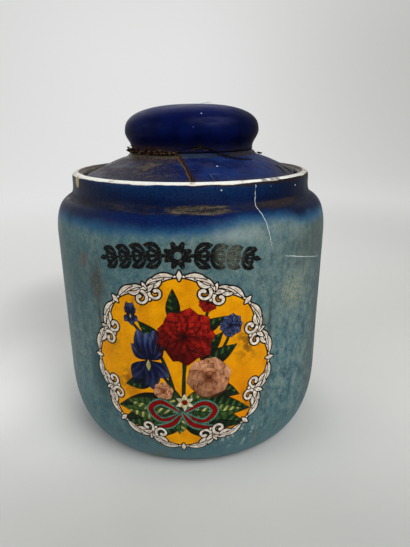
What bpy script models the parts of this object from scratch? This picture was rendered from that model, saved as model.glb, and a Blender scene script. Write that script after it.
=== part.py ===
"""Ceramic tobacco jar: a round-shouldered vessel with a recessed lid, a hollow knob and a sponge.

The jar stands on z = 0 with its centre line on the Z axis, and its front faces -Y.
All lengths are in metres.
"""

import math

import bmesh
import bpy
from mathutils import Matrix

# Jar body
BODY_RADIUS = 0.0635
JAR_HEIGHT = 0.124
BODY_WALL = 0.005
FLOOR_THICKNESS = 0.006
BASE_CORNER_WIDTH = 0.012
BASE_CORNER_HEIGHT = 0.030
BASE_CORNER_POWER = 2.2
FOOT_WIDTH = 0.007
FOOT_RECESS = 0.0012
SHOULDER_WIDTH = 0.0086
SHOULDER_HEIGHT = 0.0176
SHOULDER_POWER = 2.34
NECK_HEIGHT = 0.0102
NECK_FOOT_ROUNDING = 0.0030
NECK_WALL = 0.0048
SEAT_DEPTH = 0.0068
LEDGE_WIDTH = 0.0066
LEDGE_THICKNESS = 0.0055

# Seal ring on the ledge
SEAL_THICKNESS = 0.0014
SEAL_SIDE_CLEARANCE = 0.0008
SEAL_ROUNDING = 0.0004

# Lid
LID_GAP = 0.0013
LID_EDGE_THICKNESS = 0.0038
DOME_RISE = 0.0070
DOME_POWER = 1.3
DOME_THICKNESS = 0.0045
COLLAR_MARGIN = 0.0022
COLLAR_HEIGHT = 0.0025
COLLAR_TAPER = 0.0019
COLLAR_FOOT_ROUNDING = 0.0020
HOLE_RADIUS = 0.022
SKIRT_CLEARANCE = 0.0009
SKIRT_WALL = 0.0042
SKIRT_DEPTH = 0.009

# Knob
KNOB_FOOT_WALL = 0.0061
KNOB_OVERHANG = 0.0028
KNOB_FOOT_HEIGHT = 0.0008
KNOB_LOWER_HEIGHT = 0.0074
KNOB_UPPER_HEIGHT = 0.0116
KNOB_POWER = 2.5
KNOB_WALL = 0.0042
KNOB_MOUTH_MARGIN = 0.0008

# Pierced cup that holds the sponge in the knob
CUP_SHEET = 0.0008
CUP_CLEARANCE = 0.0003
CUP_FLANGE = 0.0032
CUP_SEAT_MARGIN = 0.0009
CUP_RISE = 0.0078
FINGER_COUNT = 6
FINGER_SLOT = 0.0024
FINGER_ROOT = 0.0012
PIERCING_RADIUS = 0.0016
PIERCING_PITCH = 0.0060
PIERCING_RINGS = 2
PIERCINGS_PER_RING = 6
CUTTER_OVERRUN = 0.0012

# Sponge
SPONGE_CLEARANCE = 0.0006
SPONGE_EDGE = 0.0030

# Spacing of pieces that rest on each other, and the rounding of their edges
REST_GAP = 0.0003
EDGE_ROUNDING = 0.0012
FINE_ROUNDING = 0.0006
HOLLOW_ROUNDING = 0.0024
LARGEST_ROUNDING_SHARE = 0.45

# Fineness of the meshes: steps round the axis, and segments in each stretch of an outline
TURN_STEPS = 48
ROUNDING_SEGMENTS = 2
CORNER_SEGMENTS = 8
INNER_CORNER_SEGMENTS = 5
LIP_SEGMENTS = 6
DOME_SEGMENTS = 6
LID_EDGE_SEGMENTS = 4
KNOB_TOP_SEGMENTS = 9
KNOB_WAIST_SEGMENTS = 5
CAVITY_SEGMENTS = 6
CAVITY_WAIST_SEGMENTS = 4
PIERCING_SIDES = 10
MERGE_DISTANCE = 0.00001

# Heights and radii that more than one piece uses
WALL_INNER_RADIUS = BODY_RADIUS - BODY_WALL
NECK_RADIUS = BODY_RADIUS - SHOULDER_WIDTH
NECK_FOOT_Z = JAR_HEIGHT - NECK_HEIGHT
SEAT_RADIUS = NECK_RADIUS - NECK_WALL
LEDGE_Z = JAR_HEIGHT - SEAT_DEPTH
THROAT_RADIUS = SEAT_RADIUS - LEDGE_WIDTH
SEAL_BOTTOM_Z = LEDGE_Z + REST_GAP
LID_BOTTOM_Z = SEAL_BOTTOM_Z + SEAL_THICKNESS + REST_GAP
LID_RADIUS = SEAT_RADIUS - LID_GAP
SKIRT_RADIUS = THROAT_RADIUS - SKIRT_CLEARANCE
KNOB_FOOT_RADIUS = HOLE_RADIUS + KNOB_FOOT_WALL
COLLAR_RADIUS = KNOB_FOOT_RADIUS + COLLAR_MARGIN
DOME_TOP_Z = LID_BOTTOM_Z + LID_EDGE_THICKNESS + DOME_RISE
COLLAR_TOP_Z = DOME_TOP_Z + COLLAR_HEIGHT
DOME_UNDER_Z = DOME_TOP_Z - DOME_THICKNESS
KNOB_FOOT_Z = COLLAR_TOP_Z + REST_GAP
KNOB_WIDEST_Z = KNOB_FOOT_Z + KNOB_FOOT_HEIGHT + KNOB_LOWER_HEIGHT
KNOB_RADIUS = KNOB_FOOT_RADIUS + KNOB_OVERHANG
CAVITY_RADIUS = KNOB_RADIUS - KNOB_WALL
CAVITY_UPPER_HEIGHT = KNOB_UPPER_HEIGHT - KNOB_WALL
CUP_RADIUS = HOLE_RADIUS - CUP_CLEARANCE
CUP_FLANGE_TOP_Z = DOME_UNDER_Z - REST_GAP
CUP_FLANGE_RADIUS = HOLE_RADIUS + CUP_FLANGE
SPONGE_RADIUS = CUP_RADIUS - CUP_SHEET - SPONGE_CLEARANCE

# Finishes: colour, roughness, metallic
GLAZED_BODY = ((0.100, 0.150, 0.160), 0.55, 0.0)
GLAZED_LID = ((0.010, 0.013, 0.085), 0.50, 0.0)
GLAZED_KNOB = ((0.008, 0.010, 0.080), 0.45, 0.0)
CORK = ((0.330, 0.190, 0.090), 0.90, 0.0)
TINNED_SHEET = ((0.560, 0.540, 0.500), 0.40, 1.0)
SPONGE_TAN = ((0.560, 0.380, 0.150), 0.95, 0.0)


def clear_scene():
    """Empty the file of objects and of the collections made by an earlier run."""
    for old in list(bpy.data.objects):
        bpy.data.objects.remove(old)
    for old in list(bpy.data.collections):
        bpy.data.collections.remove(old)


def new_collection(name):
    """A collection linked to the scene."""
    made = bpy.data.collections.new(name)
    bpy.context.scene.collection.children.link(made)
    return made


def finish_of(name, finish):
    """A Principled material from a (colour, roughness, metallic) finish."""
    colour, roughness, metallic = finish
    made = bpy.data.materials.new(name)
    made.use_nodes = True
    shader = made.node_tree.nodes["Principled BSDF"]
    shader.inputs["Base Color"].default_value = (*colour, 1.0)
    shader.inputs["Roughness"].default_value = roughness
    shader.inputs["Metallic"].default_value = metallic
    return made


def superellipse_height(across, width, height, power):
    """Height of a superellipse quarter at a distance across from its centre."""
    share = min(abs(across) / width, 1.0)
    return height * (1.0 - share**power) ** (1.0 / power)


def quarter(centre, width, height, power, count, start=0.0, end=90.0):
    """Points on a superellipse about centre, from the start angle (0 is +r) to the end angle (90 is +z)."""
    points = []
    for i in range(count + 1):
        angle = math.radians(start + (end - start) * i / count)
        c, s = math.cos(angle), math.sin(angle)
        across = math.copysign(abs(c) ** (2.0 / power), c)
        up = math.copysign(abs(s) ** (2.0 / power), s)
        points.append((centre[0] + width * across, centre[1] + height * up))
    return points


def half_round(centre, radius, count, start, end):
    """Points on a circular arc about centre, from the start angle to the end angle."""
    return quarter(centre, radius, radius, 2.0, count, start, end)


def rounded(corners, closed=False):
    """Outline through (r, z, rounding) corners, each made an arc no longer than half its legs."""
    outline = []
    count = len(corners)
    for i, (r, z, rounding) in enumerate(corners):
        is_end = not closed and i in (0, count - 1)
        if is_end or rounding <= 0.0:
            outline.append((r, z))
            continue
        before, after = corners[i - 1], corners[(i + 1) % count]
        outline += corner_arc(before, (r, z), after, rounding)
    return outline


def corner_arc(before, corner, after, rounding):
    """A quadratic arc that starts and ends the rounding length away from the corner."""
    ends = []
    for other in (before, after):
        leg = math.hypot(other[0] - corner[0], other[1] - corner[1])
        share = min(rounding / leg, LARGEST_ROUNDING_SHARE)
        along_r = (other[0] - corner[0]) * share
        along_z = (other[1] - corner[1]) * share
        ends.append((corner[0] + along_r, corner[1] + along_z))
    points = []
    for i in range(ROUNDING_SEGMENTS + 1):
        t = i / ROUNDING_SEGMENTS
        weights = ((1.0 - t) ** 2, 2.0 * t * (1.0 - t), t * t)
        stops = (ends[0], corner, ends[1])
        points.append(tuple(sum(w * stop[k] for w, stop in zip(weights, stops)) for k in (0, 1)))
    return points


def plain(points):
    """Outline points as corners with no rounding."""
    return [(r, z, 0.0) for r, z in points]


def turned(name, outline, finish, collection, closed=False):
    """A solid of revolution: the outline, running down its outer side, turned about the Z axis."""
    mesh = bpy.data.meshes.new(name)
    last = len(outline)
    edges = [(i, i + 1) for i in range(last - 1)]
    if closed:
        edges.append((last - 1, 0))
    mesh.from_pydata([(r, 0.0, z) for r, z in outline], edges, [])
    piece = bpy.data.objects.new(name, mesh)
    collection.objects.link(piece)
    screw = piece.modifiers.new("Turn", "SCREW")
    screw.axis = "Z"
    screw.angle = 2.0 * math.pi
    screw.steps = TURN_STEPS
    screw.render_steps = TURN_STEPS
    screw.use_merge_vertices = True
    screw.merge_threshold = MERGE_DISTANCE
    screw.use_smooth_shade = True
    weld = piece.modifiers.new("Close the axis", "WELD")
    weld.merge_threshold = MERGE_DISTANCE
    mesh.materials.append(finish_of(name, finish))
    return piece


def jar_body(collection):
    """The vessel: rounded base, straight wall, round shoulder, neck, and the ledge below the lid."""
    foot_radius = BODY_RADIUS - BASE_CORNER_WIDTH
    foot_inner = foot_radius - FOOT_WIDTH
    inner_corner = quarter(
        (WALL_INNER_RADIUS - BASE_CORNER_WIDTH, BASE_CORNER_HEIGHT),
        BASE_CORNER_WIDTH,
        BASE_CORNER_HEIGHT - FLOOR_THICKNESS,
        BASE_CORNER_POWER,
        INNER_CORNER_SEGMENTS,
        -90.0,
        0.0,
    )
    shoulder_z = NECK_FOOT_Z - SHOULDER_HEIGHT
    throat_bottom_z = LEDGE_Z - LEDGE_THICKNESS
    inner_shoulder = quarter(
        (THROAT_RADIUS, shoulder_z),
        WALL_INNER_RADIUS - THROAT_RADIUS,
        throat_bottom_z - shoulder_z,
        SHOULDER_POWER,
        INNER_CORNER_SEGMENTS,
    )
    lip_radius = NECK_WALL / 2.0
    lip_centre = (NECK_RADIUS - lip_radius, JAR_HEIGHT - lip_radius)
    lip = half_round(lip_centre, lip_radius, LIP_SEGMENTS, 180.0, 0.0)
    shoulder = quarter(
        (NECK_RADIUS, shoulder_z),
        SHOULDER_WIDTH,
        SHOULDER_HEIGHT,
        SHOULDER_POWER,
        CORNER_SEGMENTS,
        90.0,
        0.0,
    )
    outer_corner = quarter(
        (foot_radius, BASE_CORNER_HEIGHT),
        BASE_CORNER_WIDTH,
        BASE_CORNER_HEIGHT,
        BASE_CORNER_POWER,
        CORNER_SEGMENTS,
        0.0,
        -90.0,
    )
    corners = [(0.0, FLOOR_THICKNESS, 0.0)]
    corners += plain(inner_corner)
    corners += plain(inner_shoulder[:-1])
    corners += [(THROAT_RADIUS, throat_bottom_z, EDGE_ROUNDING), (THROAT_RADIUS, LEDGE_Z, EDGE_ROUNDING)]
    corners += [(SEAT_RADIUS, LEDGE_Z, EDGE_ROUNDING)]
    corners += plain(lip)
    corners += [(NECK_RADIUS, NECK_FOOT_Z, NECK_FOOT_ROUNDING)]
    corners += plain(shoulder[1:])
    corners += plain(outer_corner)
    corners += [(foot_inner, 0.0, FINE_ROUNDING), (foot_inner - FOOT_RECESS, FOOT_RECESS, FINE_ROUNDING)]
    corners += [(0.0, FOOT_RECESS, 0.0)]
    return turned("jar_body", rounded(corners), GLAZED_BODY, collection)


def seal_ring(collection):
    """Flat cork ring that lies on the ledge, between the jar and the lid's edge."""
    outer = SEAT_RADIUS - SEAL_SIDE_CLEARANCE
    inner = THROAT_RADIUS + SEAL_SIDE_CLEARANCE
    top = SEAL_BOTTOM_Z + SEAL_THICKNESS
    corners = [
        (inner, top, SEAL_ROUNDING),
        (outer, top, SEAL_ROUNDING),
        (outer, SEAL_BOTTOM_Z, SEAL_ROUNDING),
        (inner, SEAL_BOTTOM_Z, SEAL_ROUNDING),
    ]
    return turned("seal_ring", rounded(corners, closed=True), CORK, collection, closed=True)


def lid(collection):
    """Low dome with a rounded edge, a collar for the knob, a hole for the cup, and a skirt below."""
    edge_half = LID_EDGE_THICKNESS / 2.0
    edge_centre = (LID_RADIUS - edge_half, LID_BOTTOM_Z + edge_half)
    dome_foot_z = LID_BOTTOM_Z + LID_EDGE_THICKNESS
    run = edge_centre[0] - COLLAR_RADIUS
    dome = []
    for i in range(DOME_SEGMENTS):
        share = i / DOME_SEGMENTS
        dome.append((COLLAR_RADIUS + run * share, DOME_TOP_Z - DOME_RISE * share**DOME_POWER))
    edge = half_round(edge_centre, edge_half, LID_EDGE_SEGMENTS, 90.0, -90.0)
    skirt_inner = SKIRT_RADIUS - SKIRT_WALL
    skirt_bottom_z = LID_BOTTOM_Z - SKIRT_DEPTH
    under_edge_z = dome_foot_z - DOME_THICKNESS
    corners = [(HOLE_RADIUS, DOME_UNDER_Z, EDGE_ROUNDING), (HOLE_RADIUS, COLLAR_TOP_Z, FINE_ROUNDING)]
    corners += [(COLLAR_RADIUS - COLLAR_TAPER, COLLAR_TOP_Z, EDGE_ROUNDING)]
    corners += [(dome[0][0], dome[0][1], COLLAR_FOOT_ROUNDING)]
    corners += plain(dome[1:]) + plain(edge)
    corners += [(SKIRT_RADIUS, LID_BOTTOM_Z, FINE_ROUNDING)]
    corners += [(SKIRT_RADIUS, skirt_bottom_z, EDGE_ROUNDING), (skirt_inner, skirt_bottom_z, EDGE_ROUNDING)]
    corners += [(skirt_inner, under_edge_z, HOLLOW_ROUNDING)]
    corners += [(CUP_FLANGE_RADIUS + CUP_SEAT_MARGIN, DOME_UNDER_Z, EDGE_ROUNDING)]
    return turned("lid", rounded(corners, closed=True), GLAZED_LID, collection, closed=True)


def lid_knob(collection):
    """Flattened hollow knob, open below, with a waist above the lid's collar."""
    mouth = HOLE_RADIUS + KNOB_MOUTH_MARGIN
    waist_z = KNOB_FOOT_Z + KNOB_FOOT_HEIGHT
    middle = (0.0, KNOB_WIDEST_Z)
    upper = quarter(middle, KNOB_RADIUS, KNOB_UPPER_HEIGHT, KNOB_POWER, KNOB_TOP_SEGMENTS, 90.0, 0.0)
    lower = swell(KNOB_WIDEST_Z, waist_z, KNOB_RADIUS, KNOB_FOOT_RADIUS, KNOB_WAIST_SEGMENTS)
    ceiling = quarter(middle, CAVITY_RADIUS, CAVITY_UPPER_HEIGHT, KNOB_POWER, CAVITY_SEGMENTS, 0.0, 90.0)
    inner = swell(waist_z, KNOB_WIDEST_Z, mouth, CAVITY_RADIUS, CAVITY_WAIST_SEGMENTS)
    outline = upper + lower[1:] + [(KNOB_FOOT_RADIUS, KNOB_FOOT_Z), (mouth, KNOB_FOOT_Z)]
    outline += inner[:-1] + ceiling
    return turned("lid_knob", outline, GLAZED_KNOB, collection)


def swell(start_z, end_z, start_r, end_r, count):
    """Points of a smooth S from one radius to another, between two heights."""
    points = []
    for i in range(count + 1):
        share = i / count
        ease = (1.0 - math.cos(math.pi * share)) / 2.0
        points.append((start_r + (end_r - start_r) * ease, start_z + (end_z - start_z) * share))
    return points


def sponge_cup(collection, cutters):
    """Pierced sheet-metal cup: its flange stops under the lid, and its wall springs against the hole."""
    inner = CUP_RADIUS - CUP_SHEET
    floor_bottom = CUP_FLANGE_TOP_Z - CUP_SHEET
    wall_top = CUP_FLANGE_TOP_Z + CUP_RISE
    outline = [
        (0.0, CUP_FLANGE_TOP_Z),
        (inner, CUP_FLANGE_TOP_Z),
        (inner, wall_top),
        (CUP_RADIUS, wall_top),
        (CUP_RADIUS, CUP_FLANGE_TOP_Z),
        (CUP_FLANGE_RADIUS, CUP_FLANGE_TOP_Z),
        (CUP_FLANGE_RADIUS, floor_bottom),
        (0.0, floor_bottom),
    ]
    cup = turned("sponge_cup", outline, TINNED_SHEET, collection)
    cut(cup, piercings(floor_bottom, cutters))
    cut(cup, finger_slots(wall_top, cutters))
    return cup


def piercings(floor_bottom, cutters):
    """One cutter for all the holes in the cup's floor: one in the middle, and rings of them round it."""
    places = [(0.0, 0.0)]
    for ring in range(1, PIERCING_RINGS + 1):
        count = PIERCINGS_PER_RING * ring
        radius = PIERCING_PITCH * ring
        for i in range(count):
            angle = 2.0 * math.pi * i / count
            places.append((radius * math.cos(angle), radius * math.sin(angle)))
    mesh = bmesh.new()
    for x, y in places:
        bmesh.ops.create_cone(
            mesh,
            cap_ends=True,
            segments=PIERCING_SIDES,
            radius1=PIERCING_RADIUS,
            radius2=PIERCING_RADIUS,
            depth=CUP_SHEET + 2.0 * CUTTER_OVERRUN,
            matrix=Matrix.Translation((x, y, floor_bottom + CUP_SHEET / 2.0)),
        )
    return cutter_object("piercings_cutter", mesh, cutters)


def finger_slots(wall_top, cutters):
    """One cutter for all the slots in the cup's wall: short bars through the wall, above the flange."""
    slot_bottom = CUP_FLANGE_TOP_Z + FINGER_ROOT
    height = wall_top + CUTTER_OVERRUN - slot_bottom
    reach = CUP_SHEET + 2.0 * CUTTER_OVERRUN
    size = Matrix.Diagonal((reach, FINGER_SLOT, height, 1.0))
    place = Matrix.Translation((CUP_RADIUS - CUP_SHEET / 2.0, 0.0, slot_bottom + height / 2.0))
    mesh = bmesh.new()
    for i in range(FINGER_COUNT):
        turn = Matrix.Rotation(2.0 * math.pi * (i + 0.5) / FINGER_COUNT, 4, "Z")
        bmesh.ops.create_cube(mesh, size=1.0, matrix=turn @ place @ size)
    return cutter_object("finger_slots_cutter", mesh, cutters)


def cutter_object(name, mesh, cutters):
    """A hidden cutter made from a bmesh."""
    data = bpy.data.meshes.new(name)
    mesh.to_mesh(data)
    mesh.free()
    made = bpy.data.objects.new(name, data)
    made.hide_render = True
    made.display_type = "WIRE"
    cutters.objects.link(made)
    return made


def cut(piece, cutter):
    """Take the cutter out of the piece."""
    boolean = piece.modifiers.new("Cut " + cutter.name, "BOOLEAN")
    boolean.operation = "DIFFERENCE"
    boolean.solver = "EXACT"
    boolean.object = cutter


def sponge(collection):
    """Round sponge that stands in the cup and fills the hollow of the knob."""
    bottom = CUP_FLANGE_TOP_Z + REST_GAP
    ceiling = superellipse_height(SPONGE_RADIUS, CAVITY_RADIUS, CAVITY_UPPER_HEIGHT, KNOB_POWER)
    top = KNOB_WIDEST_Z + ceiling - SPONGE_CLEARANCE
    corners = [
        (0.0, top, 0.0),
        (SPONGE_RADIUS, top, SPONGE_EDGE),
        (SPONGE_RADIUS, bottom, EDGE_ROUNDING),
        (0.0, bottom, 0.0),
    ]
    return turned("sponge", rounded(corners), SPONGE_TAN, collection)


def build():
    """The whole jar, one object for each piece."""
    clear_scene()
    pieces = new_collection("tobacco_jar")
    cutters = new_collection("cutters")
    jar_body(pieces)
    seal_ring(pieces)
    lid(pieces)
    lid_knob(pieces)
    sponge_cup(pieces, cutters)
    sponge(pieces)


build()
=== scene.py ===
"""Looks of a ceramic tobacco jar: worn blue glaze, a flower panel, a leaf band, cracks, glue and dust.

The frame's axes are in metres: the jar stands on z = 0 and its front faces -Y. The finishes and the drawings
are laid out in millimetres. A drawing lies on a flat sheet, across to the right and up, and is then wrapped
round the wall.
"""

import math
from functools import partial

import bpy
import numpy as np
from mathutils import Matrix, Vector


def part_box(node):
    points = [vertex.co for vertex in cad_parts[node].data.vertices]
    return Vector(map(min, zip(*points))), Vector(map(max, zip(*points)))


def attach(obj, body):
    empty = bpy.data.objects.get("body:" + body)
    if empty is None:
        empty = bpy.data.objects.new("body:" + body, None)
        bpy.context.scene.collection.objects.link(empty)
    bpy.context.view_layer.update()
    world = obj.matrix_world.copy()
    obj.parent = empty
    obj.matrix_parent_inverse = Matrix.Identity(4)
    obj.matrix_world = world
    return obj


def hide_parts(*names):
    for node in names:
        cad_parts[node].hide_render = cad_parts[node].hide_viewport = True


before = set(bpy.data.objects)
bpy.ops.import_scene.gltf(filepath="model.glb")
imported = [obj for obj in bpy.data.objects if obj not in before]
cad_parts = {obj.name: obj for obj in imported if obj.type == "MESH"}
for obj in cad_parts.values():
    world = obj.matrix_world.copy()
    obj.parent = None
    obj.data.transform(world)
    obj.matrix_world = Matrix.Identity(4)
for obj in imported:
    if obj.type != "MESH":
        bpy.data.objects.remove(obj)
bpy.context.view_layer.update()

MM = 0.001

# Camera, fitted to the photograph's outlines
PICTURE_HEIGHT = 547
FOCAL_PIXELS = 450.0
SENSOR = 36.0
EYE = (2.87 * MM, -220.36 * MM, 146.02 * MM)
PITCH_DOWN, TURN_RIGHT, ROLL = 0.3308, 0.0161, 0.0062

# Ceramic skins
BODY_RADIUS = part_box("jar_body")[1].x
ARC_OF_DEGREE = BODY_RADIUS * math.pi / 180.0
COLUMNS_JAR, COLUMNS_LID, COLUMNS_SMALL, COLUMNS_FLOOR = 400, 320, 240, 96
ROW_SPACING, ROW_SPACING_LID, ROW_SPACING_SPONGE = 1.8 * MM, 1.2 * MM, 0.55 * MM
SWELL = 0.12 * MM
LID_SHIFT, LID_TILT = 0.7 * MM, 0.010
NECK_FOOT_Z, NECK_FOOT_REACH, NECK_FOOT_PASSES = 114.4 * MM, 5.0 * MM, 14
BARE_LIP_Z = 123.25 * MM
LID_HOLE_RADIUS, KNOB_FOOT_TOP_Z = 23.0 * MM, 133.0 * MM
SPONGE_PORES, PORE_DEPTH = 620, 0.75

# Where the drawings lie on the wall, in millimetres: across from the front, up along the wall from the foot
PANEL_CENTRE = (-4.2, 55.9)
PANEL_HALF_WIDTH, PANEL_HALF_HEIGHT = 38.0, 39.3
LOBES, CUSP_REACH, LOBE_REACH = 8, 0.885, 0.985
BOUQUET_SCALE = 0.96
BAND_CENTRE = (-4.5, 102.6)
BAND_ARCH_RADIUS = 150.0

# Half sizes of the sheets they are drawn on, the steps of their grids, and the brush, in millimetres
PANEL_SHEET, BOUQUET_SHEET, BAND_SHEET = (44.5, 46.0), (33.0, 38.0), (37.0, 10.0)
FINE_STEP, BOUQUET_STEP, GROUND_STEP = 0.22, 0.26, 0.5
BRUSH_MARGIN, INK_LINE = 1.2, 0.22
CRACK_STEP = 0.6

# Enamel layers above the glaze, and how far their edges reach below it
GROUND_LIFT, LINE_LIFT, SCROLL_LIFT = 0.05 * MM, 0.09 * MM, 0.13 * MM
FLOWER_LIFT, BAND_LIFT = 0.08 * MM, 0.05 * MM
ENAMEL_SINK = 0.12 * MM

# The room: a floor that sweeps up into a backdrop, in metres, and how brightly the sky fills it
FLOOR_RADIUS, SWEEP_RADIUS, BACKDROP_HEIGHT = 1.0, 0.7, 1.6
SKY_STRENGTH = 0.46
LAMP_AIM = (0.0, 0.0, 0.07)


def srgb(red, green, blue):
    """A colour from 0 to 255, as the linear RGBA that Blender keeps."""
    linear = []
    for value in (red, green, blue):
        v = value / 255.0
        linear.append(v / 12.92 if v <= 0.04045 else ((v + 0.055) / 1.055) ** 2.4)
    return (*linear, 1.0)


# Finishes


class Finish:
    """A Principled material, with short calls for its nodes. Its lengths are in millimetres."""

    def __init__(self, name, gloss=0.5):
        self.material = bpy.data.materials.new(name)
        self.material.use_nodes = True
        self.nodes = self.material.node_tree.nodes
        self.shader = self.nodes["Principled BSDF"]
        self.shader.inputs["Specular IOR Level"].default_value = gloss
        metres = self.node("TexCoord").outputs["Object"]
        self.place = self.node("VectorMath", {0: metres, "Scale": 1.0 / MM}, operation="SCALE").outputs[0]

    def feed(self, socket, value):
        """Link a socket to another, or give it a constant."""
        if isinstance(value, bpy.types.NodeSocket):
            self.material.node_tree.links.new(value, socket)
        else:
            socket.default_value = value

    def node(self, kind, inputs=None, **settings):
        """A new node with its settings, and what its inputs are fed."""
        made = self.nodes.new("ShaderNode" + kind)
        for name, value in settings.items():
            setattr(made, name, value)
        for socket, value in (inputs or {}).items():
            self.feed(made.inputs[socket], value)
        return made

    def math(self, operation, *values):
        return self.node("Math", dict(enumerate(values)), operation=operation).outputs[0]

    def add(self, total, *others):
        for value in others:
            total = self.math("ADD", total, value)
        return total

    def times(self, product, *others):
        for value in others:
            product = self.math("MULTIPLY", product, value)
        return product

    def axes(self):
        """The x, y and z of the place on the object."""
        return self.node("SeparateXYZ", {0: self.place}).outputs

    def away(self):
        """The distance from the jar's centre line."""
        x, y = self.axes()[:2]
        return self.math("SQRT", self.add(self.times(x, x), self.times(y, y)))

    def around(self):
        """(arc, side, height): the arc length from the front, the same run back from the sides to 0 behind
        the jar, so that what it grades meets there, and the height."""
        x, y, height = self.axes()
        radius = BODY_RADIUS / MM
        arc = self.times(self.math("ARCTAN2", x, self.math("MULTIPLY", y, -1.0)), radius)
        side = self.times(self.math("SIGN", arc), self.math("PINGPONG", arc, radius * math.pi / 2.0))
        return arc, side, height

    def scaled(self, grain, stretch, seed):
        scale = [1.0 / (grain * part) for part in stretch]
        location = (seed, seed * 0.37, seed * 0.71)
        return self.node("Mapping", {"Vector": self.place, "Scale": scale, "Location": location}).outputs[0]

    def noise(self, grain, detail=4.0, roughness=0.55, stretch=(1.0, 1.0, 1.0), seed=0.0):
        """Cloudy noise from 0 to 1 whose patches measure about grain, drawn out along the axes by stretch."""
        place = self.scaled(grain, stretch, seed)
        inputs = {"Vector": place, "Scale": 1.0, "Detail": detail, "Roughness": roughness}
        return self.node("TexNoise", inputs).outputs["Fac"]

    def sway(self, noise, width):
        """The noise as an offset either side of 0, width from end to end."""
        return self.times(self.math("SUBTRACT", noise, 0.5), width)

    def cells(self, grain, seed=0.0):
        """Distance to the nearest of points scattered about grain apart, in shares of grain."""
        inputs = {"Vector": self.scaled(grain, (1.0, 1.0, 1.0), seed), "Scale": 1.0}
        return self.node("TexVoronoi", inputs).outputs["Distance"]

    def ease(self, value, low, high, first=0.0, last=1.0):
        """A smooth step from first to last, as value passes from low to high."""
        if low > high:
            low, high, first, last = high, low, last, first
        inputs = {"Value": value, "From Min": low, "From Max": high, "To Min": first, "To Max": last}
        return self.node("MapRange", inputs, interpolation_type="SMOOTHSTEP").outputs[0]

    def patch(self, across, up, centre, half, soft):
        """A soft oval mask about centre, half wide, on any two coordinates."""
        squares = []
        for value, middle, reach in zip((across, up), centre, half):
            share = self.math("DIVIDE", self.math("SUBTRACT", value, middle), reach)
            squares.append(self.times(share, share))
        return self.ease(self.math("SQRT", self.add(*squares)), 1.0, 1.0 - soft)

    def dot(self, centre, radius):
        """A small round mask about a point."""
        distance = self.node("VectorMath", {0: self.place, 1: centre}, operation="DISTANCE").outputs["Value"]
        return self.ease(distance, radius, radius * 0.6)

    def mix(self, share, first, second):
        """Two colours mixed. A colour is a socket, or red, green and blue from 0 to 255."""
        first, second = (srgb(*tone) if isinstance(tone, tuple) else tone for tone in (first, second))
        return self.node("Mix", {0: share, 6: first, 7: second}, data_type="RGBA").outputs[2]

    def layers(self, colour, *rows):
        """The colour with others laid over it. A row gives the colour laid, the most that it covers, and its
        masks: fields from 0 to 1, or (value, low, high) for one that rises from low to high."""
        for tone, most, *masks in rows:
            masks = [self.ease(*mask) if isinstance(mask, tuple) else mask for mask in masks]
            share = self.times(*masks, most) if most < 1.0 else self.times(*masks)
            colour = self.mix(share, colour, tone)
        return colour

    def done(self, colour, roughness, relief, depth):
        """The material, given its colour, its roughness, and a relief of that depth."""
        bump = self.node("Bump", {"Distance": depth * MM, "Height": relief})
        for name, value in (("Base Color", colour), ("Roughness", roughness), ("Normal", bump.outputs[0])):
            self.feed(self.shader.inputs[name], value)
        return self.material


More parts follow.
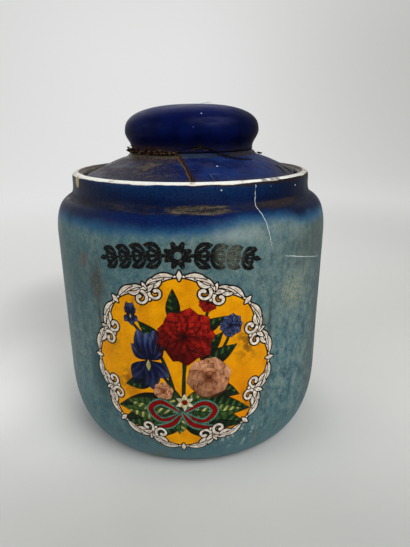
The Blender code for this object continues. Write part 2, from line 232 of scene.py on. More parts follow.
def jar_glaze():
    """Teal glaze under a navy shoulder and neck, dirt in the neck's foot, streaks and specks, with painted
    shade towards the sides, a painted highlight on the neck and painted light by the foot.
    """
    f = Finish("jar_glaze", 0.05)
    arc, side, height = f.around()
    oval = partial(f.patch, arc, height)
    streaks = f.noise(2.6, 5.0, 0.6, (1.0, 1.0, 10.0), 3.0)
    fine = f.noise(0.8, 3.0, 0.6, (1.0, 1.0, 6.0), 31.0)
    clouds = f.noise(15.0, 8.0, 0.68, (1.0, 1.0, 1.4), 11.0)
    mottle = f.noise(3.4, 7.0, 0.75, (1.0, 1.0, 1.3), 23.0)
    broad = f.noise(34.0, 2.0, 0.5, seed=41.0)
    blotches = f.noise(7.0, 5.0, 0.7, (1.0, 1.0, 1.6), 91.0)
    grit = f.noise(0.9, 3.0, 0.7, seed=5.0)
    grains = f.noise(0.5, 3.0, 0.7, seed=29.0)

    off_centre = f.math("ABSOLUTE", f.add(arc, 4.0))
    weathered = f.times(f.ease(arc, 26, 44), f.ease(arc, 106, 64))
    round_side = f.ease(side, 62, 94)
    teal = f.layers(
        f.mix(f.ease(clouds, 0.3, 0.7), (60, 98, 108), (96, 121, 121)),
        ((66, 110, 120), 0.5, (broad, 0.42, 0.62)),
        ((122, 134, 126), 0.34, (streaks, 0.5, 0.74)),
        ((44, 70, 78), 0.34, (streaks, 0.46, 0.24)),
        ((118, 130, 122), 0.25, (fine, 0.54, 0.76)),
        ((122, 139, 133), 0.6, (mottle, 0.5, 0.63)),
        ((42, 71, 82), 0.6, (mottle, 0.49, 0.36)),
        ((140, 147, 133), 0.65, (grit, 0.53, 0.74)),
        ((40, 66, 76), 0.65, (grit, 0.47, 0.27)),
        # Painted shade: darker away from the front, on the left and most towards the right side; with a dark
        # halo by the panel's left edge and a paler patch to the right
        ((74, 92, 91), 0.4, (off_centre, 44, 84)),
        ((58, 78, 80), 0.42, oval((-58, 88), (36, 34), 0.9)),
        ((40, 74, 80), 0.85, oval((-42, 44), (11, 26), 0.9)),
        ((114, 124, 117), 0.5, oval((48, 84), (24, 30), 0.9), (clouds, 0.25, 0.55)),
        ((54, 71, 71), 0.8, (side, 46, 80)),
        # Rough mottling of the weathered right
        ((116, 134, 127), 0.5, weathered, (mottle, 0.5, 0.6)),
        ((42, 66, 72), 0.45, weathered, (mottle, 0.49, 0.4)),
        # Painted shade, deeper again towards the right side
        ((50, 70, 73), 0.5, (side, 54, 76)),
        ((100, 124, 119), 0.3, round_side, (mottle, 0.5, 0.64)),
        ((38, 60, 66), 0.35, round_side, (mottle, 0.49, 0.36)),
        ((66, 76, 72), 0.6, oval((56, 98), (26, 16), 0.8)),
        ((96, 96, 80), 0.35, (blotches, 0.56, 0.68)),
        ((134, 142, 132), 0.45, (grains, 0.56, 0.76)),
        # Painted light: lighter by the foot, where the pale floor throws light up
        ((54, 90, 97), 0.55, (height, 34, 4)),
        ((92, 128, 138), 0.65, (height, 18, 2)),
    )
    navy = f.layers(
        f.mix(f.ease(clouds, 0.35, 0.7), (1, 11, 46), (4, 27, 74)),
        ((10, 44, 84), 0.8, (height, 116.5, 122.0)),
        ((1, 9, 34), 0.5, (height, 118.0, 115.6), (height, 112.6, 114.4)),
        ((3, 28, 80), 0.6, (height, 113.4, 111.4)),
        ((28, 30, 44), 0.85, (side, -24, -64)),
        # Painted shade on the right of the neck
        ((1, 8, 30), 0.85, (side, 24, 60)),
        # A painted highlight on the front of the neck
        ((30, 44, 86), 0.35, oval((2, 119), (16, 5), 0.9)),
        ((30, 52, 86), 0.3, (grit, 0.52, 0.74)),
        ((0, 5, 24), 0.65, (grit, 0.46, 0.28)),
        ((22, 52, 96), 0.55, (grains, 0.54, 0.68)),
        ((0, 6, 30), 0.8, (grains, 0.48, 0.34)),
        # Painted shade, deeper again towards the right
        ((0, 6, 34), 0.45, (side, 20, 56)),
    )

    # Where the navy ends: it wanders, and hangs lower to the right
    wander = f.sway(f.noise(13.0, 4.0, 0.6, seed=21.0), 6.0)
    lower_right = f.times(oval((30, 108), (26, 40), 0.9), -3.2)
    higher_left = f.times(oval((-36, 108), (26, 40), 0.9), 0.3)
    edge = f.add(height, wander, f.sway(grit, 3.0), lower_right, higher_left)

    # The band of dirt in the neck's foot: thin all round, thick in front, and brown to the right
    smears = f.noise(1.6, 4.0, 0.6, (7.0, 7.0, 0.6), 19.0)
    crumbs = f.noise(1.3, 5.0, 0.7, (2.4, 2.4, 0.7), 77.0)
    gaps = f.noise(6.0, 4.0, 0.65, (1.0, 1.0, 0.4), 8.0)
    dirt_edge = f.add(height, f.sway(smears, 3.0))
    spread = f.add(oval((4, 114), (20, 3.8), 0.9), f.sway(smears, 0.9))
    thick = f.times(f.ease(spread, 0.16, 0.5), f.ease(crumbs, 0.34, 0.5, 0.6, 1.0))
    right_foot = oval((44, 115.4), (24, 3.6), 0.7)
    rising = f.add(dirt_edge, f.times(arc, 0.02))
    thin = f.times(f.ease(gaps, 0.38, 0.62), f.ease(rising, 115.4, 114.6), 0.55)
    laid = f.math("MAXIMUM", thin, f.math("MAXIMUM", thick, right_foot))
    dirt = f.times(f.ease(dirt_edge, 112.4, 113.4), f.ease(dirt_edge, 116.2, 115.2), laid)
    rough = f.add(f.times(smears, 0.7), f.times(crumbs, 0.5), f.times(grains, 0.4))
    thicker = f.add(0.3, f.times(thick, 0.7))
    tan_share = f.times(f.ease(rough, 0.72, 0.98), thicker, f.ease(right_foot, 0.0, 0.6, 1.0, 0.3))
    soil = f.layers(
        f.mix(tan_share, (36, 32, 33), (106, 96, 76)),
        ((58, 45, 41), 0.6, right_foot, (grit, 0.4, 0.62)),
    )

    # The lip's lower edge, and the grime that hangs below it on the right
    lip_edge = f.add(height, f.sway(f.noise(10.0, 3.0, 0.5, seed=2.0), 1.4))
    lip_edge = f.math("SUBTRACT", lip_edge, f.ease(side, 14, 46, 0.0, 0.35))
    grime_depth = f.math("MULTIPLY_ADD", f.noise(3.4, 4.0, seed=33.0), 2.2, f.ease(side, 0, 44, -0.5, 0.8))
    grime = f.math("DIVIDE", f.math("SUBTRACT", 122.95, lip_edge), grime_depth)

    trails = f.noise(2.6, 5.0, 0.7, (1.0, 1.0, 2.0), 61.0)
    paint_dots = ((11.8, -53.5, 121.1), (43.2, -33.8, 120.1), (-42.0, -35.2, 116.4))
    colour = f.layers(
        teal,
        ((38, 84, 118), 1.0, (edge, 103.5, 108.5)),
        (navy, 1.0, (edge, 105.5, 111.0)),
        (soil, 0.9, dirt),
        # Brown stains to the left, and a drip to the right of the panel
        ((74, 64, 50), 0.85, oval((-40, 84), (6, 13), 0.8), (grit, 0.32, 0.58)),
        ((104, 82, 76), 0.6, oval((-47, 93), (4, 5), 0.9)),
        ((62, 52, 42), 0.6, oval((-40, 70), (1.4, 7), 0.7)),
        ((56, 66, 64), 0.7, oval((33, 52), (1.5, 44), 0.6), (streaks, 0.35, 0.6)),
        # A pale patch, rubbed places and haze under the shoulder
        ((150, 150, 116), 0.8, oval((46, 79), (13, 11), 0.9), (grit, 0.4, 0.66)),
        ((128, 140, 136), 0.45, oval((36, 104), (26, 8), 0.9), (clouds, 0.3, 0.6)),
        ((150, 164, 162), 0.6, oval((17, 105.4), (14, 4), 0.9), (clouds, 0.2, 0.55)),
        ((118, 112, 88), 0.7, oval((15, 99), (6, 8), 0.8), (grit, 0.35, 0.7)),
        # Limescale, rust and a scuff near the foot
        ((158, 180, 178), 0.9, oval((21, 17), (17, 9), 0.8), (trails, 0.53, 0.62)),
        ((150, 112, 58), 0.8, oval((29, 13), (1.1, 7), 0.6), (grit, 0.44, 0.6)),
        ((104, 104, 84), 0.6, oval((-15, 6), (6, 4), 0.8), (grit, 0.3, 0.6)),
        *(((190, 200, 204), 1.0, f.dot(centre, 0.4)) for centre in paint_dots),
        ((130, 146, 148), 0.35, (f.cells(9.0, 4.0), 0.045, 0.025)),
        ((26, 18, 16), 0.92, (grime, 1.0, 0.35), (side, -12, 4)),
        ((224, 219, 210), 1.0, (lip_edge, 122.85, 123.1)),
        ((172, 158, 112), 1.0, oval((-67, 121.4), (3.2, 3), 0.35)),
    )
    roughness = f.add(f.ease(clouds, 0.3, 0.7, 0.36, 0.5), f.times(dirt, 0.35))
    return f.done(colour, roughness, f.add(f.times(streaks, 0.4), f.times(grit, 0.35)), 0.14)


def bare_lip():
    """Unglazed white ware with brown soaked into it in places, and painted shade along its inner edge by the
    lid.
    """
    f = Finish("bare_ware", 0.15)
    arc, side, height = f.around()
    grit = f.noise(0.7, 3.0, 0.7, seed=5.0)
    blot = f.noise(6.0, 4.0, 0.6, seed=14.0)
    inner_edge = f.add(f.away(), f.sway(blot, 1.6))
    colour = f.layers(
        f.mix(f.ease(grit, 0.4, 0.8, 0.0, 0.4), (236, 238, 230), (184, 172, 158)),
        ((140, 112, 92), 0.7, (blot, 0.56, 0.72)),
        ((140, 124, 116), 0.6, (side, 40, 80)),
        ((150, 140, 130), 0.45, (side, -58, -86)),
        *(((84, 56, 52), 0.8, f.patch(arc, height, (place, 123.4), (2.6, 1.6), 0.7), (grit, 0.3, 0.5))
          for place in (36.0, 41.0, 44.5)),
        # Painted shade: the inner edge darkened where the gap to the lid lies in shadow
        ((58, 46, 42), 0.92, (inner_edge, 52.7, 51.9)),
    )
    return f.done(colour, f.ease(grit, 0.2, 0.8, 0.6, 0.8), f.add(grit, blot), 0.12)


def inner_glaze():
    """Cream glaze inside, stained brown towards the floor and in runs, with painted shade high in the neck
    under the lid.
    """
    f = Finish("inner_glaze", 0.4)
    height = f.axes()[2]
    runs = f.noise(5.0, 4.0, 0.6, (1.0, 1.0, 5.0), 12.0)
    grit = f.noise(0.9, 3.0, 0.7, seed=5.0)
    colour = f.layers(
        f.mix(f.ease(runs, 0.35, 0.7), (196, 184, 160), (150, 126, 92)),
        ((110, 84, 54), 0.6, (height, 50, 4)),
        # Painted shade high in the neck, under the lid
        ((48, 40, 38), 0.85, (height, 113, 117)),
        ((88, 70, 48), 0.3, (grit, 0.5, 0.85)),
    )
    return f.done(colour, f.ease(runs, 0.3, 0.7, 0.35, 0.6), f.add(runs, grit), 0.10)


def lid_glaze():
    """Blue worn glaze: dusty to the left and by the collar, wipe marks in front, specks and scratches, a
    painted highlight to the right and painted shade on the collar's right.
    """
    f = Finish("lid_glaze", 0.04)
    side, height = f.around()[1:]
    x, y = f.axes()[:2]
    clouds = f.noise(8.0, 4.0, 0.6, seed=7.0)
    wipes = f.noise(1.8, 4.0, 0.65, (6.0, 2.0, 1.0), 17.0)
    grit = f.noise(0.8, 3.0, 0.7, seed=9.0)
    grains = f.noise(0.5, 3.0, 0.7, seed=29.0)
    crust = f.noise(2.2, 5.0, 0.7, (1.6, 1.6, 0.7), 47.0)
    rub_and_highlight = f.noise(5.0, 4.0, 0.6, seed=27.0)
    left = f.ease(x, 6, -16, 0.25, 0.9)
    film = f.times(f.ease(x, 2, -20), f.ease(wipes, 0.38, 0.66), 0.85)
    soot = f.mix(f.ease(grit, 0.4, 0.7), (30, 27, 30), (78, 72, 72))
    collar_top = f.layers(
        f.mix(f.ease(side, -16, -2), (54, 52, 49), (34, 47, 66)),
        # Painted shade on the collar's right, towards the crack
        ((12, 20, 48), 0.75, (side, 8, 26)),
        ((34, 30, 36), 1.0, (side, 26, 48)),
        ((84, 88, 90), 0.4, (grit, 0.5, 0.8)),
    )
    old_glue = f.mix(f.ease(grains, 0.46, 0.62), (36, 26, 21), (112, 94, 72))
    worn = (wipes, 0.25, 0.5)
    colour = f.layers(
        f.mix(f.ease(clouds, 0.32, 0.68), (8, 21, 68), (18, 42, 94)),
        # Film, dust and wipe marks, mostly to the left
        ((26, 30, 60), 0.75, (x, -2, -10)),
        ((42, 39, 48), 1.0, film),
        ((66, 62, 60), 0.75, (x, -8, -32), (grit, 0.4, 0.62)),
        ((12, 12, 22), 1.0, (grit, 0.46, 0.28), left),
        ((102, 94, 84), 0.8, (grains, 0.54, 0.66), left),
        ((12, 12, 22), 0.8, (grains, 0.48, 0.34), left),
        ((104, 94, 82), 0.45, (wipes, 0.53, 0.66), left),
        ((22, 20, 30), 0.55, (wipes, 0.47, 0.34), left),
        ((96, 86, 66), 0.7, f.dot((-18.0, -33.0, 127.6), 6.0), (crust, 0.46, 0.6)),
        # Lighter to the right in rubbed patches, partly a painted highlight; specked, and sooty at the far
        # right and behind
        ((38, 52, 88), 0.3, (x, -4, 14), (rub_and_highlight, 0.5, 0.7)),
        ((92, 96, 108), 0.5, (f.cells(2.6, 12.0), 0.16, 0.08), (clouds, 0.45, 0.6)),
        (soot, 0.85, (x, 32, 42), (clouds, 0.2, 0.5)),
        ((62, 60, 64), 0.6, (y, 0, 22), (wipes, 0.35, 0.6)),
        ((44, 46, 62), 0.7, (height, 124.8, 123.2), (wipes, 0.3, 0.55)),
        # The collar's worn top with painted shade to its right, its edge, and old glue round it
        (collar_top, 1.0, (height, 130.4, 131.2), worn),
        ((92, 87, 78), 0.7, (height, 130.4, 130.8), (height, 131.6, 131.2), (side, 2, -12), worn),
        (old_glue, 0.85, (height, 128.6, 130.2), (side, -4, -20), (side, -112, -84), (crust, 0.36, 0.54)),
        ((200, 206, 212), 1.0, f.dot((11.0, -35.2, 127.9), 0.5)),
    )
    roughness = f.add(f.ease(wipes, 0.3, 0.7, 0.38, 0.55), f.times(film, 0.25))
    return f.done(colour, roughness, f.add(f.times(wipes, 0.4), f.times(grit, 0.4)), 0.10)


def knob_glaze():
    """The deepest blue, painted lighter towards the top and darker to the right, with a painted highlight on
    top, a greyer film to the left, and brown dust at the foot.
    """
    f = Finish("knob_glaze", 0.018)
    x, y, z = f.axes()
    clouds = f.noise(9.0, 4.0, 0.6, seed=7.0)
    wipes = f.noise(1.6, 4.0, 0.65, (7.0, 3.0, 1.0), 37.0)
    grit = f.noise(0.8, 3.0, 0.7, seed=9.0)
    glint = f.patch(x, z, (9.0, 145.6), (14.0, 3.4), 0.9)
    colour = f.layers(
        f.mix(f.ease(clouds, 0.32, 0.68), (2, 7, 42), (6, 17, 66)),
        # Painted light towards the top, and painted shade to the right
        ((2, 17, 76), 0.75, (z, 145.5, 151.5)),
        ((0, 2, 22), 0.75, (x, 12, 29)),
        ((44, 42, 56), 0.5, (x, -10, -30), (wipes, 0.35, 0.65)),
        ((40, 46, 82), 0.7, glint, (y, -12, -22), (wipes, 0.3, 0.6)),
        ((16, 30, 78), 0.35, (wipes, 0.56, 0.76)),
        ((50, 58, 84), 0.2, (grit, 0.62, 0.86)),
        # Brown dust and stuck glue at the foot
        ((34, 29, 32), 0.55, (z, 138.5, 134.5), (wipes, 0.3, 0.6)),
        ((62, 48, 38), 0.8, (z, 136.4, 134.0), (x, -2, -14), (grit, 0.36, 0.56)),
        ((170, 180, 204), 1.0, f.dot((4.9, -26.3, 148.1), 0.42)),
        ((70, 78, 120), 1.0, f.dot((1.6, -30.5, 143.0), 0.36)),
    )
    relief = f.add(f.times(wipes, 0.4), f.times(grit, 0.4))
    return f.done(colour, f.ease(wipes, 0.3, 0.7, 0.38, 0.52), relief, 0.10)


def mottled(name, first, second, grain, rough, relief, gloss=0.15):
    """Two colours in cloudy patches with fine grit: glue, bare clay, enamel, cork or sponge."""
    f = Finish(name, gloss)
    clouds = f.noise(grain, 5.0, 0.65, seed=1.0)
    grit = f.noise(grain * 0.18, 3.0, 0.7, seed=6.0)
    colour = f.layers(f.mix(f.ease(clouds, 0.3, 0.7), first, second), (second, 0.35, (grit, 0.5, 0.9)))
    roughness = f.ease(grit, 0.2, 0.8, rough - 0.06, min(rough + 0.06, 1.0))
    return f.done(colour, roughness, f.add(clouds, grit), relief)


def tinned_sheet():
    """Dull tinned metal with rust freckles."""
    f = Finish("tinned_sheet")
    clouds = f.noise(6.0, 4.0, 0.6, seed=2.0)
    grit = f.noise(0.7, 3.0, 0.7, seed=8.0)
    rust = f.ease(f.noise(2.4, 4.0, 0.7, seed=15.0), 0.56, 0.64)
    tin = f.mix(f.ease(clouds, 0.3, 0.7), (150, 147, 140), (186, 184, 176))
    f.feed(f.shader.inputs["Metallic"], f.ease(rust, 0.0, 1.0, 1.0, 0.1))
    roughness = f.add(f.ease(grit, 0.2, 0.8, 0.3, 0.45), f.times(rust, 0.4))
    return f.done(f.mix(rust, tin, (104, 62, 36)), roughness, f.add(grit, rust), 0.05)


def gold_enamel():
    """Amber-gold ground with darker brush clouds and brown smudges."""
    f = Finish("gold_enamel", 0.06)
    arc, height = f.around()[::2]
    clouds = f.noise(9.0, 4.0, 0.6, seed=51.0)
    grit = f.noise(0.8, 3.0, 0.7, seed=5.0)
    grains = f.noise(0.5, 3.0, 0.7, seed=29.0)
    smears = f.noise(3.0, 4.0, 0.7, seed=57.0)
    smudges = (
        ((23, 62), (9, 14), 0.85), ((-27, 44), (8, 10), 0.7), ((8, 84), (8, 7), 0.7),
        ((24, 36), (6, 10), 0.7), ((-33, 62), (5, 11), 0.5), ((-20, 80), (6, 6), 0.5),
    )
    colour = f.layers(
        f.mix(f.ease(clouds, 0.3, 0.7), (222, 140, 0), (246, 168, 0)),
        ((146, 88, 10), 0.55, (grit, 0.54, 0.8)),
        ((120, 72, 14), 0.5, (grains, 0.55, 0.75)),
        ((246, 186, 30), 0.5, (grains, 0.46, 0.28)),
        ((222, 126, 0), 0.6, (height, 66, 34), (arc, -10, 20)),
        *(((92, 58, 22), most, f.patch(arc, height, centre, half, 0.9), (smears, 0.36, 0.62))
          for centre, half, most in smudges),
    )
    relief = f.add(f.times(clouds, 0.3), f.times(grit, 0.3))
    return f.done(colour, f.ease(clouds, 0.3, 0.7, 0.42, 0.55), relief, 0.06)


def flower_enamel():
    """Colours painted on the mesh's points, with fine brush grain, brown age and worn specks."""
    f = Finish("flower_enamel", 0.06)
    grit = f.noise(0.7, 4.0, 0.7, seed=71.0)
    brush = f.noise(0.9, 3.0, 0.6, (1.0, 1.0, 3.0), 73.0)
    aged = f.noise(4.0, 5.0, 0.7, seed=75.0)
    colour = f.layers(
        f.node("Attribute", attribute_name="paint").outputs["Color"],
        ((22, 15, 12), 0.5, (brush, 0.42, 0.7)),
        ((30, 20, 13), 0.45, (aged, 0.5, 0.68)),
        ((150, 110, 60), 0.4, (grit, 0.66, 0.74)),
    )
    relief = f.add(f.times(brush, 0.5), f.times(grit, 0.4))
    return f.done(colour, f.ease(grit, 0.3, 0.7, 0.42, 0.56), relief, 0.06)


def band_enamel():
    """Black enamel, worn grey in specks and in one place to the right."""
    f = Finish("band_enamel", 0.06)
    arc, height = f.around()[::2]
    grit = f.noise(0.8, 4.0, 0.7, seed=81.0)
    worn = f.times(f.patch(arc, height, (15, 99), (7, 9), 0.6), f.ease(grit, 0.38, 0.5))
    loss = f.math("MAXIMUM", f.ease(grit, 0.55, 0.66, 0.0, 0.6), worn)
    return f.done(f.mix(loss, (15, 16, 17), (84, 90, 80)), f.ease(grit, 0.3, 0.7, 0.45, 0.6), grit, 0.06)


def pale_floor():
    """The floor's greys, near and far, with painted light and shade, and the backdrop, which glows for the
    camera in a painted gradient.
    """
    f = Finish("pale_floor", 0.1)
    x, y, z = f.axes()
    away = f.away()
    # Painted light and shade: the floor lighter beside and behind the jar than in front, and darker to the
    # right
    beside = f.mix(f.ease(x, -80, 120), (232, 232, 230), (218, 218, 215))
    near = f.layers(
        f.mix(f.ease(f.noise(120.0), 0.3, 0.7), (183, 184, 182), (191, 192, 189)),
        (beside, 1.0, (y, -110, 10)),
        # Painted shade behind the jar to the right, and a painted contact shadow round its foot
        ((196, 196, 193), 0.7, (x, 90, 240), (y, 20, 140)),
        ((160, 161, 160), 0.3, (away, 82, 52)),
    )
    # Far off, painted darker to the right and towards the front
    far = f.layers(
        f.mix(f.ease(x, 60, 340), (234, 234, 233), (206, 206, 203)),
        ((184, 184, 182), 1.0, (y, -60, -300)),
    )
    ground = f.layers(
        near,
        (far, 1.0, (away, 140, 380)),
        # A painted pool of light to the left, and a painted shadow to the left behind the jar
        ((252, 252, 250), 1.0, f.patch(x, y, (-104, 24), (66, 72), 0.9)),
        ((194, 195, 195), 0.6, f.patch(x, y, (-116, 150), (62, 84), 0.95)),
    )
    # The backdrop's painted glow: lighter to the left, darker to the right, evening out far to the left and
    # high up
    backdrop = f.layers(
        f.mix(f.ease(x, -100, 900), (226, 227, 226), (190, 190, 187)),
        ((212, 212, 211), 1.0, (x, -200, -1100)),
        ((212, 212, 210), 1.0, (z, 300, 1200)),
    )
    f.feed(f.shader.inputs["Base Color"], ground)
    f.shader.inputs["Roughness"].default_value = 0.9
    paths = f.node("LightPath").outputs
    seen = f.math("MAXIMUM", paths["Is Camera Ray"], paths["Is Glossy Ray"])
    glow = f.node("Emission", {"Color": backdrop})
    share = f.times(seen, f.ease(away, 240, 750))
    shown = f.node("MixShader", {0: share, 1: f.shader.outputs[0], 2: glow.outputs[0]})
    f.feed(f.nodes["Material Output"].inputs["Surface"], shown.outputs[0])
    return f.material


# Surfaces and meshes


def unit(vectors):
    """Vectors brought to a length of 1."""
    return vectors / np.maximum(np.linalg.norm(vectors, axis=-1, keepdims=True), 1e-12)


def outline_of(node, spacing):
    """The smoothed (r, z) outline of a turned CAD node, in order, and whether it closes on itself."""
    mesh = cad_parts[node].data
    snap = 1e-6
    found, names = {}, {}
    for vertex in mesh.vertices:
        x, y, z = vertex.co
        if abs(y) < snap and x > -snap:
            key = (round(x / snap), round(z / snap))
            names[vertex.index] = key
            found[key] = (x, z)
    joined = {key: set() for key in found}
    for edge in mesh.edges:
        a, b = (names.get(i) for i in edge.vertices)
        if a is not None and b is not None and a != b:
            joined[a].add(b)
            joined[b].add(a)
    ends = [key for key in joined if len(joined[key]) == 1]
    order = [max(ends, key=lambda k: k[1]) if ends else min(joined)]
    while True:
        onward = [k for k in joined[order[-1]] if k not in order]
        if not onward:
            break
        order.append(onward[0])
    outline = [found[k] for k in order]
    if ends and outline[0][0] > snap:
        outline.insert(0, (0.0, outline[0][1]))
    if ends and outline[-1][0] > snap:
        outline.append((0.0, outline[-1][1]))
    closed = not ends
    return smoothed(np.array(outline), closed, spacing), closed


def smoothed(points, closed, spacing):
    """The outline with points added on smooth curves, at most spacing apart. Straight runs stay straight."""
    count = len(points)
    ahead = np.roll(points, -1, 0) - points
    behind = np.roll(ahead, 1, 0)
    long_ahead = np.maximum(np.hypot(*ahead.T), 1e-9)
    long_behind = np.maximum(np.hypot(*behind.T), 1e-9)
    tangent = ahead * long_ahead[:, None] + behind * long_behind[:, None]
    if not closed:
        tangent[0], tangent[-1] = ahead[0], behind[-1]
    tangent = unit(tangent)
    result = []
    for i in range(count if closed else count - 1):
        j = (i + 1) % count
        length = long_ahead[i]
        pieces = max(2 if length > 0.25 * MM else 1, math.ceil(length / spacing))
        for k in range(pieces):
            t = k / pieces
            first, second = 2 * t**3 - 3 * t**2 + 1, t**3 - 2 * t**2 + t
            third, fourth = 3 * t**2 - 2 * t**3, t**3 - t**2
            place = first * points[i] + third * points[j]
            result.append(place + length * (second * tangent[i] + fourth * tangent[j]))
    if not closed:
        result.append(points[-1])
    return np.array(result)


def softened(points, height, reach):
    """The outline with its outer corner at height rounded off within reach, as glaze and dirt fill it."""
    result = points.copy()
    for _ in range(NECK_FOOT_PASSES):
        middle = 0.25 * np.roll(result, 1, 0) + 0.5 * result + 0.25 * np.roll(result, -1, 0)
        share = np.clip(1.0 - np.abs(result[:, 1] - height) / reach, 0.0, 1.0)
        share = share * (result[:, 0] > 0.8 * BODY_RADIUS)
        result = result + (middle - result) * share[:, None]
    return result


def swollen(points):
    """Points moved by the small swellings of a hand-finished wall, up to SWELL."""
    x, y, z = points.T
    angle = np.arctan2(x, -y)
    wave = 0.5 * np.sin(2 * angle + 0.7 + z / (30 * MM)) + 0.3 * np.sin(5 * angle + 1.9 - z / (17 * MM))
    wave = wave + 0.2 * np.sin(9 * angle + z / (9 * MM))
    radius = np.hypot(x, y)
    move = SWELL * wave * np.minimum(1.0, radius / (20 * MM)) / np.maximum(radius, 1e-6)
    return np.stack([x * (1.0 + move), y * (1.0 + move), z], 1)


def eased(value, low, high):
    share = np.clip((value - low) / (high - low), 0.0, 1.0)
    return share * share * (3.0 - 2.0 * share)


def set_down(points, share):
    """Lid and knob as they were set down: a little to the right, the right side a little higher."""
    moved = swollen(points)
    moved[:, 2] += LID_TILT * moved[:, 0] * share
    moved[:, 0] += LID_SHIFT * share
    return moved


def lid_shape(points):
    x, y, z = points.T
    return set_down(points, eased(z, 121.5 * MM, 124.0 * MM) * eased(np.hypot(x, y), 24.0 * MM, 28.5 * MM))


def knob_shape(points):
    return set_down(points, 1.0)


def placed(name, data):
    """A new object in the scene."""
    made = bpy.data.objects.new(name, data)
    bpy.context.scene.collection.objects.link(made)
    return made


def mesh_object(name, points, faces, materials):
    mesh = bpy.data.meshes.new(name)
    mesh.from_pydata([tuple(p) for p in points], [], faces)
    for material in materials:
        mesh.materials.append(material)
    mesh.shade_smooth()
    return placed(name, mesh)


def turned(name, outline, closed, columns, materials, kinds=None, shape=swollen):
    """A closed skin: the (r, z) outline turned about the Z axis. kinds gives each row's material."""
    angle = 2.0 * np.pi * np.arange(columns) / columns
    points, rows, count = [], [], 0
    for r, z in outline:
        single = not closed and r < 1e-6
        turn = angle[:1] if single else angle
        points.append(np.stack([r * np.sin(turn), -r * np.cos(turn), np.full(len(turn), z)], 1))
        rows.append(range(count, count + len(turn)))
        count += len(turn)
    faces, slots = [], []
    pairs = list(zip(rows, rows[1:]))
    if closed:
        pairs.append((rows[-1], rows[0]))
    for i, (upper, lower) in enumerate(pairs):
        for k in range(columns):
            n = (k + 1) % columns
            corners = ((upper, k), (lower, k), (lower, n), (upper, n))
            # A row of one point closes its faces to triangles
            faces.append(tuple(dict.fromkeys(row[place % len(row)] for row, place in corners)))
            slots.append(kinds[i] if kinds is not None else 0)
    piece = mesh_object(name, shape(np.concatenate(points)), faces, materials)
    piece.data.polygons.foreach_set("material_index", slots)
    volume = sum(p.center.dot(p.normal) * p.area for p in piece.data.polygons)
    if volume < 0.0:
        piece.data.flip_normals()
    return piece


def travelled(path):
    """The length along a path to each of its points."""
    return np.concatenate([[0.0], np.cumsum(np.hypot(*np.diff(path, axis=0).T))])


class Wall:
    """An outer surface unrolled: across is the arc from the front, up the length along the outline."""

    def __init__(self, run, radius, shape=swollen):
        self.radius = radius
        self.shape = shape
        self.r, self.z = run.T
        self.length = travelled(run)
        tangent = unit(np.gradient(run, self.length, axis=0))
        self.out_r, self.out_z = tangent[:, 1], -tangent[:, 0]

    def up_at_height(self, z):
        return np.interp(z, self.z, self.length)

    def up_at_radius(self, r):
        return np.interp(-np.asarray(r), -self.r, self.length)

    def at(self, across, up, lift):
        """Points on the surface, lifted off it along its normal."""
        out_r, out_z = np.interp(up, self.length, self.out_r), np.interp(up, self.length, self.out_z)
        r = np.interp(up, self.length, self.r) + lift * out_r
        z = np.interp(up, self.length, self.z) + lift * out_z
        angle = np.asarray(across) / self.radius
        return self.shape(np.stack([r * np.sin(angle), -r * np.cos(angle), z], 1))


def tube(name, path, radii, material, sides=8):
    """A closed tube along points, with a radius at each."""
    path = np.asarray(path)
    tangent = unit(np.gradient(path, axis=0))
    side = unit(np.cross(tangent, (0.0, 0.0, 1.0)))
    other = np.cross(side, tangent)
    turn = 2.0 * np.pi * np.arange(sides) / sides
    rings = path[:, None] + np.asarray(radii)[:, None, None] * (
        np.cos(turn)[None, :, None] * side[:, None] + np.sin(turn)[None, :, None] * other[:, None])
    faces = []
    for i in range(len(path) - 1):
        for k in range(sides):
            n = (k + 1) % sides
            faces.append((i * sides + k, i * sides + n, (i + 1) * sides + n, (i + 1) * sides + k))
    last = (len(path) - 1) * sides
    faces.append(tuple(reversed(range(sides))))
    faces.append(tuple(range(last, last + sides)))
    return mesh_object(name, rings.reshape(-1, 3), faces, [material])


# Drawing on flat sheets, in millimetres


